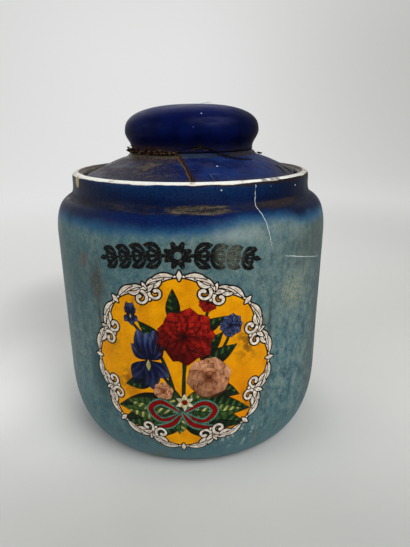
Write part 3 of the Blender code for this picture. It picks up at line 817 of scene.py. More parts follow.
class Sheet:
    """A flat sheet round a motif's centre. A field on it is positive inside what it draws, in millimetres."""

    def __init__(self, half_width, half_height, step):
        self.step = step
        self.across = np.arange(-half_width, half_width + step, step)
        self.up = np.arange(-half_height, half_height + step, step)
        self.u, self.v = np.meshgrid(self.across, self.up)

    def empty(self):
        return np.full(self.u.shape, -9.0)

    def stroke(self, field, path, halves):
        """Draw a brush stroke: half its width at each point of the path."""
        path = np.asarray(path, float)
        passed = travelled(path)
        count = max(2, int(passed[-1] / (0.5 * self.step)))
        where = np.linspace(0.0, passed[-1], count)
        xs, ys = np.interp(where, passed, path[:, 0]), np.interp(where, passed, path[:, 1])
        ws = np.interp(where / passed[-1], np.linspace(0.0, 1.0, len(halves)), halves)
        for x, y, w in zip(xs, ys, ws):
            reach = w + BRUSH_MARGIN
            i0, i1 = np.searchsorted(self.across, (x - reach, x + reach))
            j0, j1 = np.searchsorted(self.up, (y - reach, y + reach))
            part = field[j0:j1, i0:i1]
            np.maximum(part, w - np.hypot(self.u[j0:j1, i0:i1] - x, self.v[j0:j1, i0:i1] - y), out=part)

    def inside(self, corners):
        """The field of a closed polygon."""
        corners = np.asarray(corners, float)
        far = np.full(self.u.shape, 1e9)
        within = np.zeros(self.u.shape, bool)
        for (x0, y0), (x1, y1) in zip(corners, np.roll(corners, -1, 0)):
            dx, dy = x1 - x0, y1 - y0
            t = np.clip(((self.u - x0) * dx + (self.v - y0) * dy) / (dx * dx + dy * dy + 1e-12), 0.0, 1.0)
            far = np.minimum(far, np.hypot(self.u - x0 - t * dx, self.v - y0 - t * dy))
            if y0 != y1:
                within ^= ((y0 > self.v) != (y1 > self.v)) & (self.u < x0 + (self.v - y0) * dx / dy)
        return np.where(within, far, -far)

    def petal(self, base, degrees, length, width, belly=0.8, bend=0.0):
        """The field of a petal or leaf, with the shares along it and across it of every point."""
        turn = math.radians(degrees)
        along = (self.u - base[0]) * math.cos(turn) + (self.v - base[1]) * math.sin(turn)
        side = -(self.u - base[0]) * math.sin(turn) + (self.v - base[1]) * math.cos(turn)
        t = along / length
        side = side - bend * length * t * np.abs(t)
        inner = np.clip(t, 0.0, 1.0)
        half = width * np.sin(np.pi * inner**belly)
        beyond = np.maximum(-along, along - length)
        field = np.where(beyond > 0.0, -np.hypot(beyond, side), half - np.abs(side))
        return field, inner, side / width


def plate(name, sheet, field, centre, wall, lift, material, paint=None):
    """A thin raised layer on the wall where the field is positive, with crisp sides down into the glaze."""
    rows, columns = field.shape
    solid = field > 0.0
    # Rows rise with j and columns with i, so that this order faces outwards
    ring = ((0, 0), (0, 1), (1, 1), (1, 0))
    corners = np.stack([solid[j:rows - 1 + j, i:columns - 1 + i] for j, i in ring], -1)
    full = np.argwhere(corners.all(-1))
    edged = np.argwhere(corners.any(-1) & ~corners.all(-1))
    flat, number, colours = [], {}, []

    def point(j, i, k=None, m=None):
        key = (j, i) if k is None else (min((j, i), (k, m)), max((j, i), (k, m)))
        if key not in number:
            place, tone = np.array((sheet.across[i], sheet.up[j])), (j, i)
            if k is not None:
                share = field[j, i] / (field[j, i] - field[k, m])
                place = place + share * (np.array((sheet.across[m], sheet.up[k])) - place)
                tone = (j, i) if solid[j, i] else (k, m)
            number[key] = len(flat)
            flat.append(place)
            if paint is not None:
                colours.append(paint[tone])
        return number[key]

    faces, rim = [], []
    for j, i in full:
        faces.append(tuple(point(j + dj, i + di) for dj, di in ring))
    for j, i in edged:
        face, cut = [], []
        for k in range(4):
            a = (j + ring[k][0], i + ring[k][1])
            b = (j + ring[(k + 1) % 4][0], i + ring[(k + 1) % 4][1])
            if solid[a]:
                face.append(point(*a))
                cut.append(False)
            if solid[a] != solid[b]:
                face.append(point(*a, *b))
                cut.append(True)
        faces.append(tuple(face))
        for k in range(len(face)):
            if cut[k] and cut[(k + 1) % len(face)]:
                rim.append((face[k], face[(k + 1) % len(face)]))
    flat = np.array(flat)
    top = len(flat)
    edge_names = {}
    for pair in rim:
        for index in pair:
            edge_names.setdefault(index, len(edge_names))
    edge = np.array(list(edge_names))
    doubled = np.concatenate([flat, flat[edge], flat[edge]])
    lifts = np.concatenate([np.full(top, lift), np.full(len(edge), lift), np.full(len(edge), -ENAMEL_SINK)])
    for a, b in rim:
        u, v = edge_names[a] + top, edge_names[b] + top
        faces.append((v, u, u + len(edge), v + len(edge)))
    across, up = (doubled[:, 0] + centre[0]) * MM, (doubled[:, 1] + centre[1]) * MM
    piece = mesh_object(name, wall.at(across, up, lifts), faces, [material])
    if paint is not None:
        colours = np.array(colours)
        values = np.concatenate([colours, colours[edge], colours[edge]])
        layer = piece.data.color_attributes.new("paint", "FLOAT_COLOR", "POINT")
        layer.data.foreach_set("color", np.concatenate([values, np.ones((len(values), 1))], 1).ravel())
    return piece


def curve(points, steps=12):
    """A smooth path through points."""
    p = np.asarray(points, float)
    p = np.concatenate([[2 * p[0] - p[1]], p, [2 * p[-1] - p[-2]]])
    result = []
    for i in range(1, len(p) - 2):
        for t in np.arange(steps) / steps:
            result.append(0.5 * (2 * p[i] + (p[i + 1] - p[i - 1]) * t
                                 + (2 * p[i - 1] - 5 * p[i] + 4 * p[i + 1] - p[i + 2]) * t**2
                                 + (3 * p[i] - p[i - 1] - 3 * p[i + 1] + p[i + 2]) * t**3))
    result.append(p[-2])
    return np.array(result)


def volute(start, heading, first_radius, last_radius, turns, hand):
    """A spiral that leaves start along heading and winds inwards, to the left for hand 1."""
    steps = max(8, int(turns * 40))
    place, angle = np.array(start, float), math.radians(heading)
    path = [place.copy()]
    for k in range(steps):
        radius = first_radius + (last_radius - first_radius) * k / steps
        turn = turns * 2.0 * math.pi / steps
        angle += hand * turn * 0.5
        place += radius * turn * np.array((math.cos(angle), math.sin(angle)))
        angle += hand * turn * 0.5
        path.append(place.copy())
    return np.array(path)


# The panel: a gold ground in a lobed frame of white scrolls, with a bouquet


def lobe_arc(index, count=24):
    """The outline of one of the frame's lobes, from its first cusp to its last."""
    middle = 2.0 * math.pi * index / LOBES
    half = math.pi / LOBES
    chord = 2.0 * CUSP_REACH * math.sin(half)
    rise = LOBE_REACH - CUSP_REACH * math.cos(half)
    radius = (chord * chord / 4.0 + rise * rise) / (2.0 * rise)
    spread = math.asin(chord / 2.0 / radius)
    turn = np.linspace(-spread, spread, count)
    out, side = LOBE_REACH - radius + radius * np.cos(turn), radius * np.sin(turn)
    x = out * math.cos(middle) - side * math.sin(middle)
    y = out * math.sin(middle) + side * math.cos(middle)
    return np.stack([x * PANEL_HALF_WIDTH, y * PANEL_HALF_HEIGHT], 1)


def panel_outline():
    return np.concatenate([lobe_arc(k)[:-1] for k in range(LOBES)])


def bearing(step):
    """The direction of a step, in degrees."""
    return math.degrees(math.atan2(step[1], step[0]))


def polar(degrees, reach):
    """A step of that reach, in a direction in degrees."""
    turn = math.radians(degrees)
    return reach * np.array((math.cos(turn), math.sin(turn)))


def scroll_frame():
    """The fields of the white scrolls, each parted from those under it, and of their black outlines."""
    sheet = Sheet(*PANEL_SHEET, FINE_STEP)
    white, black = sheet.empty(), sheet.empty()
    parting, rim = 0.38, 0.6

    def lay(path, halves, groove=0.0):
        nonlocal white, black
        leaf = sheet.empty()
        sheet.stroke(leaf, path, halves)
        white = np.maximum(np.minimum(white, -leaf - parting), leaf)
        black = np.maximum(black, leaf + rim)
        if groove:
            cut = sheet.empty()
            count = len(path)
            sheet.stroke(cut, path[count // 4:count - count // 5], (0.04, groove, 0.04))
            white = np.minimum(white, -cut)

    for index in range(LOBES):
        arc = lobe_arc(index, 49)
        middle = len(arc) // 2
        for hand in (1, -1):
            half = arc[middle:] if hand == 1 else arc[middle::-1]
            run = half[: int(len(half) * 0.86)]
            across, up = unit(run[-1] - run[0]) * hand
            normal = np.array((up, -across))
            curl = volute(run[-1], bearing(run[-1] - run[-2]) + 8 * hand, 3.0, 0.7, 1.0, hand)
            lay(np.concatenate([run, curl[1:]]), (0.28, 0.42, 0.54, 0.62, 0.62, 0.54, 0.44, 0.7))
            # Leaves on the run: where along it, on which side, how large, how far they lean and wind
            for share, side, size, lean, turns in (
                (0.74, 1, 5.8, 32, 0.24), (0.50, 1, 9.0, 28, 0.19),
                (0.22, 1, 11.6, 24, 0.15), (0.58, -1, 5.0, 34, 0.24),
            ):
                place = int(len(run) * share)
                along = bearing(run[place + 1] - run[place]) - lean * hand * side
                leaf = volute(run[place] + normal * 0.3 * side, along, size, size * 0.35, turns, hand * side)
                lay(leaf, (0.25, 0.58, 0.76, 0.66, 0.44, 0.1), 0.12)
        cusp = arc[-1]
        for lean, size in ((-66, 4.4), (66, 4.4), (0, 3.9)):
            tip = cusp + polar(bearing(cusp) + lean, size)
            lay(curve([cusp, (cusp + tip) / 2, tip]), (0.3, 0.9, 0.7, 0.1), 0.14)
        inner = cusp * (1.0 - 3.2 / np.hypot(*cusp))
        lay([inner, inner * 0.999], (0.6, 0.6))
        apex = arc[middle]
        lay([apex * (1.0 + reach / np.hypot(*apex)) for reach in (-1.6, 0.2, 2.2)], (0.15, 0.95, 0.12))
    return sheet, white, black


def mixed(first, second, share):
    share = np.clip(share, 0.0, 1.0)[..., None]
    return np.asarray(first) * (1.0 - share) + np.asarray(second) * share


def rgb(red, green, blue):
    return np.array(srgb(red, green, blue)[:3])


INK = rgb(24, 17, 14)
NIGHT, BLUE, SKY = rgb(10, 14, 40), rgb(24, 34, 84), rgb(92, 108, 150)
WINE, RED, SCARLET = rgb(44, 4, 6), rgb(132, 12, 8), rgb(196, 40, 26)
BLUES, REDS = (NIGHT, BLUE, SKY), (WINE, RED, SCARLET)
UMBER, PEACH, BLUSH = rgb(120, 62, 34), rgb(206, 136, 96), rgb(228, 172, 130)
SHADE, MOSS, GREEN = rgb(12, 16, 11), rgb(26, 54, 30), rgb(74, 108, 50)
CREAM, IVORY, TEAL = rgb(216, 206, 122), rgb(230, 222, 200), rgb(70, 142, 124)


class Bouquet:
    """A picture laid down in strokes and petals: its colours, and the field of all that is covered."""

    def __init__(self):
        self.sheet = Sheet(*BOUQUET_SHEET, BOUQUET_STEP)
        self.cover = self.sheet.empty()
        self.paint = np.zeros((*self.sheet.u.shape, 3)) + INK

    def lay(self, field, colours, line=INK_LINE):
        """Cover where the field is positive with colours, inside an inked line."""
        self.cover = np.maximum(self.cover, field + line)
        self.paint = np.where((field > -line)[..., None], INK, self.paint)
        self.paint = np.where((field > 0.0)[..., None], colours, self.paint)

    def petal(self, base, degrees, length, width, dark, light, tip=None,
              belly=0.8, bend=0.0, veins=0.0, line=INK_LINE):
        """A shaded petal or leaf: dark at its foot and edges, with veins of the tip's colour."""
        field, t, s = self.sheet.petal(base, degrees, length, width, belly, bend)
        colours = mixed(dark, light, t * 1.25 - 0.35 * s * s)
        if tip is not None:
            colours = mixed(colours, tip, (t - 0.55) * 1.6 * (1.0 - s * s))
        if veins:
            grooves = np.sin(s * veins + 0.8 * np.sin(9.0 * t))
            colours = mixed(colours, tip if tip is not None else light, (grooves - 0.35) * 0.9 * t)
            colours = mixed(colours, dark, (-grooves - 0.3) * 0.8)
        self.lay(field, colours, line)

    def shade(self, centre, size, tone, strength):
        """Darken a flower away from the light, which comes from the upper right."""
        across, up = self.sheet.u - centre[0], self.sheet.v - centre[1]
        share = strength * (0.35 - (0.5 * across + 0.85 * up) / size)
        share = np.where(np.hypot(across, up) < size * 1.05, share, 0.0)
        self.paint = mixed(self.paint, tone, np.clip(share, 0.0, 0.85))

    def stroke(self, path, halves, colour, edge=None, line=INK_LINE):
        field = self.sheet.empty()
        self.sheet.stroke(field, path, halves)
        colours = np.zeros_like(self.paint) + colour
        if edge is not None:
            colours = mixed(colours, edge, (0.75 - field) * 4.0)
        self.lay(field, colours, line)

    def leaf(self, base, degrees, length, width, bend=0.0, dark=MOSS, light=GREEN, shine=CREAM):
        """A leaf with a lit half, a midrib and side veins."""
        field, t, s = self.sheet.petal(base, degrees, length, width, 0.85, bend)
        colours = mixed(dark, light, 0.3 + 0.7 * t - 0.5 * np.abs(s))
        ribs = np.sin(t * length * 2.1 - np.abs(s) * 4.0)
        colours = mixed(colours, shine, (ribs - 0.1) * 1.1 * (s > 0.08) * (1.0 - np.abs(s)) * 1.3)
        colours = mixed(colours, SHADE, (-ribs - 0.2) * 0.9 * (s <= 0.0))
        colours = mixed(colours, SHADE, (0.09 - np.abs(s)) * 14.0 * (t < 0.92))
        self.lay(field, colours)

    def peony(self, centre, size, tones):
        """Rings of broad ruffled petals round a dark heart."""
        rings = ((9, 1.0, 0.40, 0.0), (8, 0.80, 0.34, 21.0), (7, 0.60, 0.28, 8.0), (5, 0.42, 0.22, 40.0))
        for count, reach, width, first in rings:
            for k in range(count):
                degrees = first + 360.0 * k / count + 5.0 * math.sin(3.1 * k + count)
                length = size * reach * (1.0 + 0.08 * math.sin(5.3 * k + count))
                bend = 0.06 * math.sin(k * 2.3)
                self.petal(centre, degrees, length, size * width, *tones, 1.5, bend, 7.0)
        self.petal((centre[0] - size * 0.1, centre[1]), 0.0, size * 0.2, size * 0.1, tones[0], tones[0])

    def iris(self, centre, size):
        """Upright and hanging petals, striped in blues."""
        for degrees, length, width, belly, bend in (
            (232, 1.0, 0.30, 1.3, 0.0), (318, 0.92, 0.28, 1.3, 0.0), (276, 1.12, 0.30, 1.3, 0.0),
            (148, 0.78, 0.22, 1.1, -0.15), (38, 0.78, 0.22, 1.1, 0.15), (112, 1.15, 0.28, 1.1, -0.08),
            (72, 1.15, 0.28, 1.1, 0.08), (92, 1.0, 0.26, 1.1, 0.0),
        ):
            self.petal(centre, degrees, size * length, size * width, *BLUES, belly, bend, 9.0)
        self.petal(centre, 270, size * 0.42, size * 0.07, CREAM, CREAM, None, 1.0, 0.0, 0.0, 0.1)

    def rose(self, centre, size):
        """Overlapping rounded petals that wind to a heart."""
        for count, reach, width, first in ((6, 1.0, 0.52, 10.0), (5, 0.74, 0.42, 40.0), (4, 0.5, 0.32, 0.0)):
            for k in range(count):
                degrees = first + 360.0 * k / count
                self.petal(centre, degrees, size * reach, size * width, UMBER, PEACH, BLUSH, 1.7, 0.05)
        for k in range(3):
            reach = size * (0.3 - 0.09 * k)
            path = volute((centre[0] + reach, centre[1]), 90.0 + 40.0 * k, reach, size * 0.1, 0.8, 1)
            self.stroke(path, (0.12, 0.28, 0.12), UMBER, None, 0.0)

    def star(self, centre, size, colour, heart):
        for k in range(6):
            self.petal(centre, 30.0 + 60.0 * k, size, size * 0.24, colour, IVORY, None, 0.9)
        field = size * 0.26 - np.hypot(self.sheet.u - centre[0], self.sheet.v - centre[1])
        self.lay(field, heart)


def bouquet():
    """Red peony above, irises to the left, a peach rose to the right, leaves, a ribbon and a star."""
    b = Bouquet()
    foot, knot = (0, -25), (0, -22)
    for path in (
        ((-4, -10), (-13, 2)), ((1, -6), (1, 12)), ((6, -12), (13, -2)), ((10, -4), (19, 12), (20, 19)),
        ((-8, 4), (-20, 19), (-21, 23)), ((2, 4), (10, 22), (11, 30)),
    ):
        b.stroke(curve((foot, *path)), (0.55, 0.5, 0.4), MOSS)
    for base, degrees, length, width, bend in (
        ((8, 2), 20, 17, 3.4, 0.12), ((10, -8), -18, 16, 3.6, -0.1), ((6, -12), -48, 17, 3.6, 0.1),
        ((8, 4), 58, 15, 2.8, -0.1), ((-6, 8), 128, 17, 3.0, 0.1), ((-12, -6), 205, 14, 3.2, -0.1),
        ((4, 16), 18, 16, 2.8, 0.12), ((-2, 20), 100, 15, 2.8, -0.12),
        ((-3, -17), 184, 27, 5.4, 0.14), ((3, -17), -4, 27, 5.2, -0.14), ((-3, -20), 208, 27, 5.6, -0.12),
        ((3, -20), -28, 26, 5.4, 0.12), ((-2, -22), 236, 18, 5.0, -0.1), ((2, -22), -56, 18, 5.0, 0.1),
    ):
        b.leaf(base, degrees, length, width, bend, SHADE, MOSS, GREEN)
    for base, degrees, length, width, bend in (
        ((-2, -20), 196, 25, 4.6, -0.16), ((2, -20), -14, 24, 4.4, 0.16), ((-2, -21), 166, 23, 4.0, 0.14),
        ((-1, -22), 222, 17, 3.8, -0.1), ((1, -22), -46, 16, 3.8, 0.1), ((0, -22), 262, 11, 3.2, 0.0),
        ((0, -18), 138, 17, 3.8, 0.1), ((1, -18), 34, 16, 3.6, -0.1),
    ):
        b.leaf(base, degrees, length, width, bend)
    b.iris((-14, 3), 12.5)
    b.shade((-14, 3), 13.0, NIGHT, 0.6)
    b.iris((-21, 23), 4.6)
    b.peony((11, 29), 3.8, REDS)
    b.peony((1.5, 14.5), 12.2, REDS)
    b.shade((1.5, 14.5), 12.2, WINE, 0.75)
    b.peony((20.5, 18.5), 5.0, BLUES)
    b.rose((11.5, -4.5), 9.6)
    b.shade((11.5, -4.5), 9.6, rgb(92, 44, 26), 0.5)
    b.rose((-8.0, -11.5), 4.4)
    for path in (
        ((-9, -17), (-14, -21), (-9, -26), knot), ((9, -17), (14, -21), (9, -26), knot),
        ((-5, -28), (-14, -31)), ((5, -28), (15, -30)),
    ):
        b.stroke(curve((knot, *path)), (0.9, 1.7, 1.9, 1.5, 1.2), RED, TEAL)
    b.star((1.0, -16.5), 4.2, CREAM, RED)
    b.sheet.across *= BOUQUET_SCALE
    b.sheet.up *= BOUQUET_SCALE
    return b


# The leaf band


def leaf_band():
    """An arched black garland: pairs of leaves that grow from a rosette in the middle out to both ends."""
    sheet = Sheet(*BAND_SHEET, FINE_STEP)
    drawn, bare = sheet.empty(), sheet.empty()

    def arched(path):
        path = np.asarray(path, float)
        turn = path[:, 0] / BAND_ARCH_RADIUS
        reach = BAND_ARCH_RADIUS + path[:, 1]
        return np.stack([reach * np.sin(turn), reach * np.cos(turn) - BAND_ARCH_RADIUS], 1)

    for hand in (1, -1):
        sheet.stroke(drawn, arched([(hand * x, 0.0) for x in np.linspace(4.0, 29.0, 26)]), (0.75, 0.6, 0.4))
        for k in range(4):
            x = hand * (6.4 + 6.1 * k)
            size = 1.0 - 0.05 * k
            for side in (1, -1):
                reach = [(0.0, 0.3), (1.4, 2.2), (3.4, 3.6), (6.2, 4.3)]
                leaf = curve([(x + hand * size * a, side * size * b) for a, b in reach])
                sheet.stroke(drawn, arched(leaf), (0.5, 1.5, 1.9, 1.3, 0.15))
                sheet.stroke(bare, arched(leaf[8:-10]), (0.06, 0.2, 0.06))
                berry = (x + hand * 4.6 * size, side * 1.3)
                sheet.stroke(drawn, arched([berry, (berry[0] + 0.01, berry[1])]), (0.85, 0.85))
        tip = curve([(hand * 28.6, 0.0), (hand * 30.6, 0.2), (hand * 32.6, 0.0)])
        sheet.stroke(drawn, arched(tip), (0.4, 1.1, 0.15))
    for k in range(8):
        petal = [polar(22.5 + 45.0 * k, reach) for reach in (1.4, 3.0, 4.6)]
        sheet.stroke(drawn, arched(petal), (0.6, 1.3, 0.9))
    ring = [polar(degrees, 1.2) for degrees in np.linspace(0.0, 360.0, 24)]
    sheet.stroke(bare, arched(ring), (0.22, 0.22))
    return sheet, np.minimum(drawn, -bare)


# Camera, light and floor


def camera():
    made = placed("camera", bpy.data.cameras.new("camera"))
    made.data.sensor_width = SENSOR
    made.data.lens = FOCAL_PIXELS / PICTURE_HEIGHT * SENSOR
    made.data.clip_start, made.data.clip_end = 0.01, 20.0
    level = math.cos(PITCH_DOWN)
    ahead = Vector((math.sin(TURN_RIGHT) * level, math.cos(TURN_RIGHT) * level, -math.sin(PITCH_DOWN)))
    right = Vector((math.cos(TURN_RIGHT), -math.sin(TURN_RIGHT), 0.0))
    down = ahead.cross(right)
    across = right * math.cos(ROLL) + down * math.sin(ROLL)
    up = right * math.sin(ROLL) - down * math.cos(ROLL)
    turn = Matrix((across, up, -ahead)).transposed()
    made.matrix_world = Matrix.Translation(EYE) @ turn.to_4x4()
    bpy.context.scene.camera = made


def lamp(name, place, size, power):
    """A round lamp that faces the jar."""
    made = placed(name, bpy.data.lights.new(name, "AREA"))
    made.data.shape = "DISK"
    made.data.size = size
    made.data.energy = power
    made.location = place
    made.rotation_euler = (Vector(LAMP_AIM) - Vector(place)).to_track_quat("-Z", "Y").to_euler()


def stage():
    """A pale dish: a wide floor whose rim sweeps up into a backdrop on every side, paler than the floor."""
    outline = [(0.0, 0.0), (FLOOR_RADIUS * 0.5, 0.0), (FLOOR_RADIUS, 0.0)]
    steps = 12
    for k in range(1, steps + 1):
        angle = math.radians(90.0 * k / steps)
        out, up = math.sin(angle), 1.0 - math.cos(angle)
        outline.append((FLOOR_RADIUS + SWEEP_RADIUS * out, SWEEP_RADIUS * up))
    outline.append((FLOOR_RADIUS + SWEEP_RADIUS, SWEEP_RADIUS + BACKDROP_HEIGHT))
    look = [pale_floor()]
    dish = turned("floor_and_backdrop", outline, False, COLUMNS_FLOOR, look, None, lambda points: points)
    dish.visible_shadow = False
    world = bpy.data.worlds.new("soft_sky")
    bpy.context.scene.world = world
    world.use_nodes = True
    background = world.node_tree.nodes["Background"]
    background.inputs["Color"].default_value = (1.0, 1.0, 0.99, 1.0)
    background.inputs["Strength"].default_value = SKY_STRENGTH
    lamp("window", (0.48, -0.5, 0.7), 0.75, 7.3)
    lamp("room", (-0.8, -0.35, 0.55), 0.6, 3.0)
    lamp("far_room", (-0.25, 0.85, 0.5), 0.8, 1.7)


# Putting the pieces together


def finish_piece(piece, body, slot, *nodes):
    if nodes:
        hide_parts(*nodes)
    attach(piece, body)


def jar_skin():
    """Lay the jar's skin, and give its outer wall for the drawings."""
    # The outline runs up inside, over the lip, down outside to the foot ring, and in under the base
    outline, closed = outline_of("jar_body", ROW_SPACING)
    outline = softened(outline, NECK_FOOT_Z, NECK_FOOT_REACH)
    r, z = outline.T
    rim = int(np.argmax(z + r * 0.02))
    foot = rim + int(np.argmax((z[rim:] < 0.2 * MM) & (r[rim:] > 40 * MM)))
    glaze, bare, inner = range(3)
    kinds = []
    for k in range(len(outline) - 1):
        unglazed = (z[k] + z[k + 1]) / 2 > BARE_LIP_Z or k >= foot
        kinds.append(bare if unglazed else glaze if k >= rim else inner)
    piece = turned("jar_skin", outline, closed, COLUMNS_JAR, [jar_glaze(), bare_lip(), inner_glaze()], kinds)
    finish_piece(piece, "jar", "jar_glaze", "jar_body")
    return Wall(outline[rim:foot + 1][::-1], BODY_RADIUS)


def lid_skin(clay):
    """Lay the lid's skin, glazed from its widest place to the knob's hole, and give its top for the marks."""
    outline, closed = outline_of("lid", ROW_SPACING_LID)
    r, z = outline.T
    widest = int(np.argmax(r))
    step = 1 if z[(widest + 2) % len(z)] > z[widest] else -1
    run = [widest]
    for k in range(1, len(z)):
        place = (widest + step * k) % len(z)
        if r[place] > r[run[-1]] - 1e-9 or r[place] < LID_HOLE_RADIUS:
            break
        run.append(place)
    kinds = [0 if k in run or (k + 1) % len(z) in run else 1 for k in range(len(z))]
    piece = turned("lid_skin", outline, closed, COLUMNS_LID, [lid_glaze(), clay], kinds, lid_shape)
    finish_piece(piece, "lid", "lid_glaze", "lid")
    return Wall(outline[run], BODY_RADIUS, lid_shape)


def knob_skin(clay):
    """Lay the knob's skin, glazed down to its foot, and give its outside for the marks."""
    outline, closed = outline_of("lid_knob", ROW_SPACING_LID)
    r, z = outline.T
    lowest = int(np.argmax((z < KNOB_FOOT_TOP_Z) & (r > 25 * MM)))
    kinds = [0 if k < lowest else 1 for k in range(len(z))]
    piece = turned("knob_skin", outline, closed, COLUMNS_LID, [knob_glaze(), clay], kinds, knob_shape)
    finish_piece(piece, "lid", "knob_glaze", "lid_knob")
    return Wall(outline[:lowest + 1][::-1], BODY_RADIUS, knob_shape)


def porous(points):
    """Points with rounded pores pressed in, as in a natural sponge."""
    rng = np.random.RandomState(21)
    result = points.copy()
    centre = np.array((0.0, 0.0, points[:, 2].mean()))
    pores = points[rng.choice(len(points), SPONGE_PORES, replace=False)]
    sizes = rng.uniform(0.7, 2.3, SPONGE_PORES) * MM
    for pore, size in zip(pores, sizes):
        near = np.linalg.norm(points - pore, axis=1) / size
        depth = PORE_DEPTH * size * np.clip(1.0 - near**2, 0.0, 1.0)
        result += depth[:, None] * unit(centre - pore)
    return result


def small_skins():
    """The cork ring and the sponge, and tinned sheet on the cup."""
    cork = mottled("cork", (84, 58, 38), (140, 104, 68), 2.2, 0.85, 0.2)
    sponge = mottled("sponge", (150, 112, 58), (204, 170, 104), 4.0, 0.95, 0.5)
    for node, body, slot, material, spacing, shape in (
        ("seal_ring", "seal", "cork", cork, ROW_SPACING, swollen),
        ("sponge", "cup", "sponge", sponge, ROW_SPACING_SPONGE, porous),
    ):
        outline, closed = outline_of(node, spacing)
        piece = turned(node + "_skin", outline, closed, COLUMNS_SMALL, [material], None, shape)
        finish_piece(piece, body, slot, node)
    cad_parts["sponge_cup"].material_slots[0].material = tinned_sheet()


def drawings(wall):
    """The panel and the leaf band, laid on the jar's wall one layer above another."""
    gold_sheet = Sheet(*PANEL_SHEET, GROUND_STEP)
    gold = gold_sheet.inside(panel_outline())
    frame_sheet, white, black = scroll_frame()
    b = bouquet()
    band_sheet, drawn = leaf_band()
    ink = mottled("line_enamel", (14, 11, 10), (34, 27, 23), 2.0, 0.5, 0.05, 0.06)
    pale = mottled("scroll_enamel", (248, 240, 226), (186, 166, 146), 1.3, 0.5, 0.05, 0.1)
    for name, sheet, field, centre, lift, material, paint in (
        ("gold_ground", gold_sheet, gold, PANEL_CENTRE, GROUND_LIFT, gold_enamel(), None),
        ("frame_lines", frame_sheet, black, PANEL_CENTRE, LINE_LIFT, ink, None),
        ("frame_scrolls", frame_sheet, white, PANEL_CENTRE, SCROLL_LIFT, pale, None),
        ("bouquet", b.sheet, b.cover, PANEL_CENTRE, FLOWER_LIFT, flower_enamel(), b.paint),
        ("leaf_band", band_sheet, drawn, BAND_CENTRE, BAND_LIFT, band_enamel(), None),
    ):
        finish_piece(plate(name, sheet, field, centre, wall, lift, material, paint), "jar", "jar_glaze")


def crooked(path, amount, seed):
    """A line in millimetres, made fine and slightly crooked, as a crack is."""
    path = np.asarray(path, float)
    passed = travelled(path)
    where = np.arange(0.0, passed[-1], CRACK_STEP)
    fine = np.stack([np.interp(where, passed, c) for c in path.T], 1)
    jitter = np.random.RandomState(seed).normal(0.0, amount, fine.shape)
    jitter[0] = jitter[-1] = 0.0
    return (fine + jitter).T


def filled(points, count):
    """The coordinates of a line through points, filled in to count of them."""
    shares = np.linspace(0, 1, len(points))
    return [np.interp(np.linspace(0, 1, count), shares, values) for values in zip(*points)]


def widths(count, *knots):
    """The widths of count places along a line. A knot gives how far along it lies, and the width there."""
    return np.interp(np.linspace(0, 1, count), *zip(*knots))


def thread(name, path, radii, look, slot="lid_glaze", body="lid"):
    """A crack, a scratch or a line of glue along points, with radii in millimetres."""
    finish_piece(tube(name, path, radii * MM, look), body, slot)


def blobs(name, lumps, material):
    """Small lumps of glue at (degrees from the front, distance from the centre line, height, size)."""
    points, faces = [], []
    sides, rings = 10, 6
    for number, (turn, out, high, size) in enumerate(lumps):
        angle = math.radians(turn)
        centre = knob_shape(np.array([(out * math.sin(angle), -out * math.cos(angle), high)]) * MM)[0] / MM
        first = len(points)
        for j in range(rings + 1):
            tilt = math.pi * j / rings
            for k in range(sides):
                spin = 2.0 * math.pi * k / sides
                flat = math.sin(tilt)
                ray = np.array((flat * math.cos(spin), flat * math.sin(spin), math.cos(tilt) * 0.6))
                wave = 1.0 + 0.18 * math.sin(3.0 * spin + number) * math.sin(2.0 * tilt + number * 0.7)
                points.append((centre + ray * size * wave * (1.3, 1.3, 1.0)) * MM)
        for j in range(rings):
            for k in range(sides):
                n = (k + 1) % sides
                a = first + j * sides
                faces.append((a + k, a + sides + k, a + sides + n, a + n))
    finish_piece(mesh_object(name, points, faces, [material]), "lid", "lid_glaze")


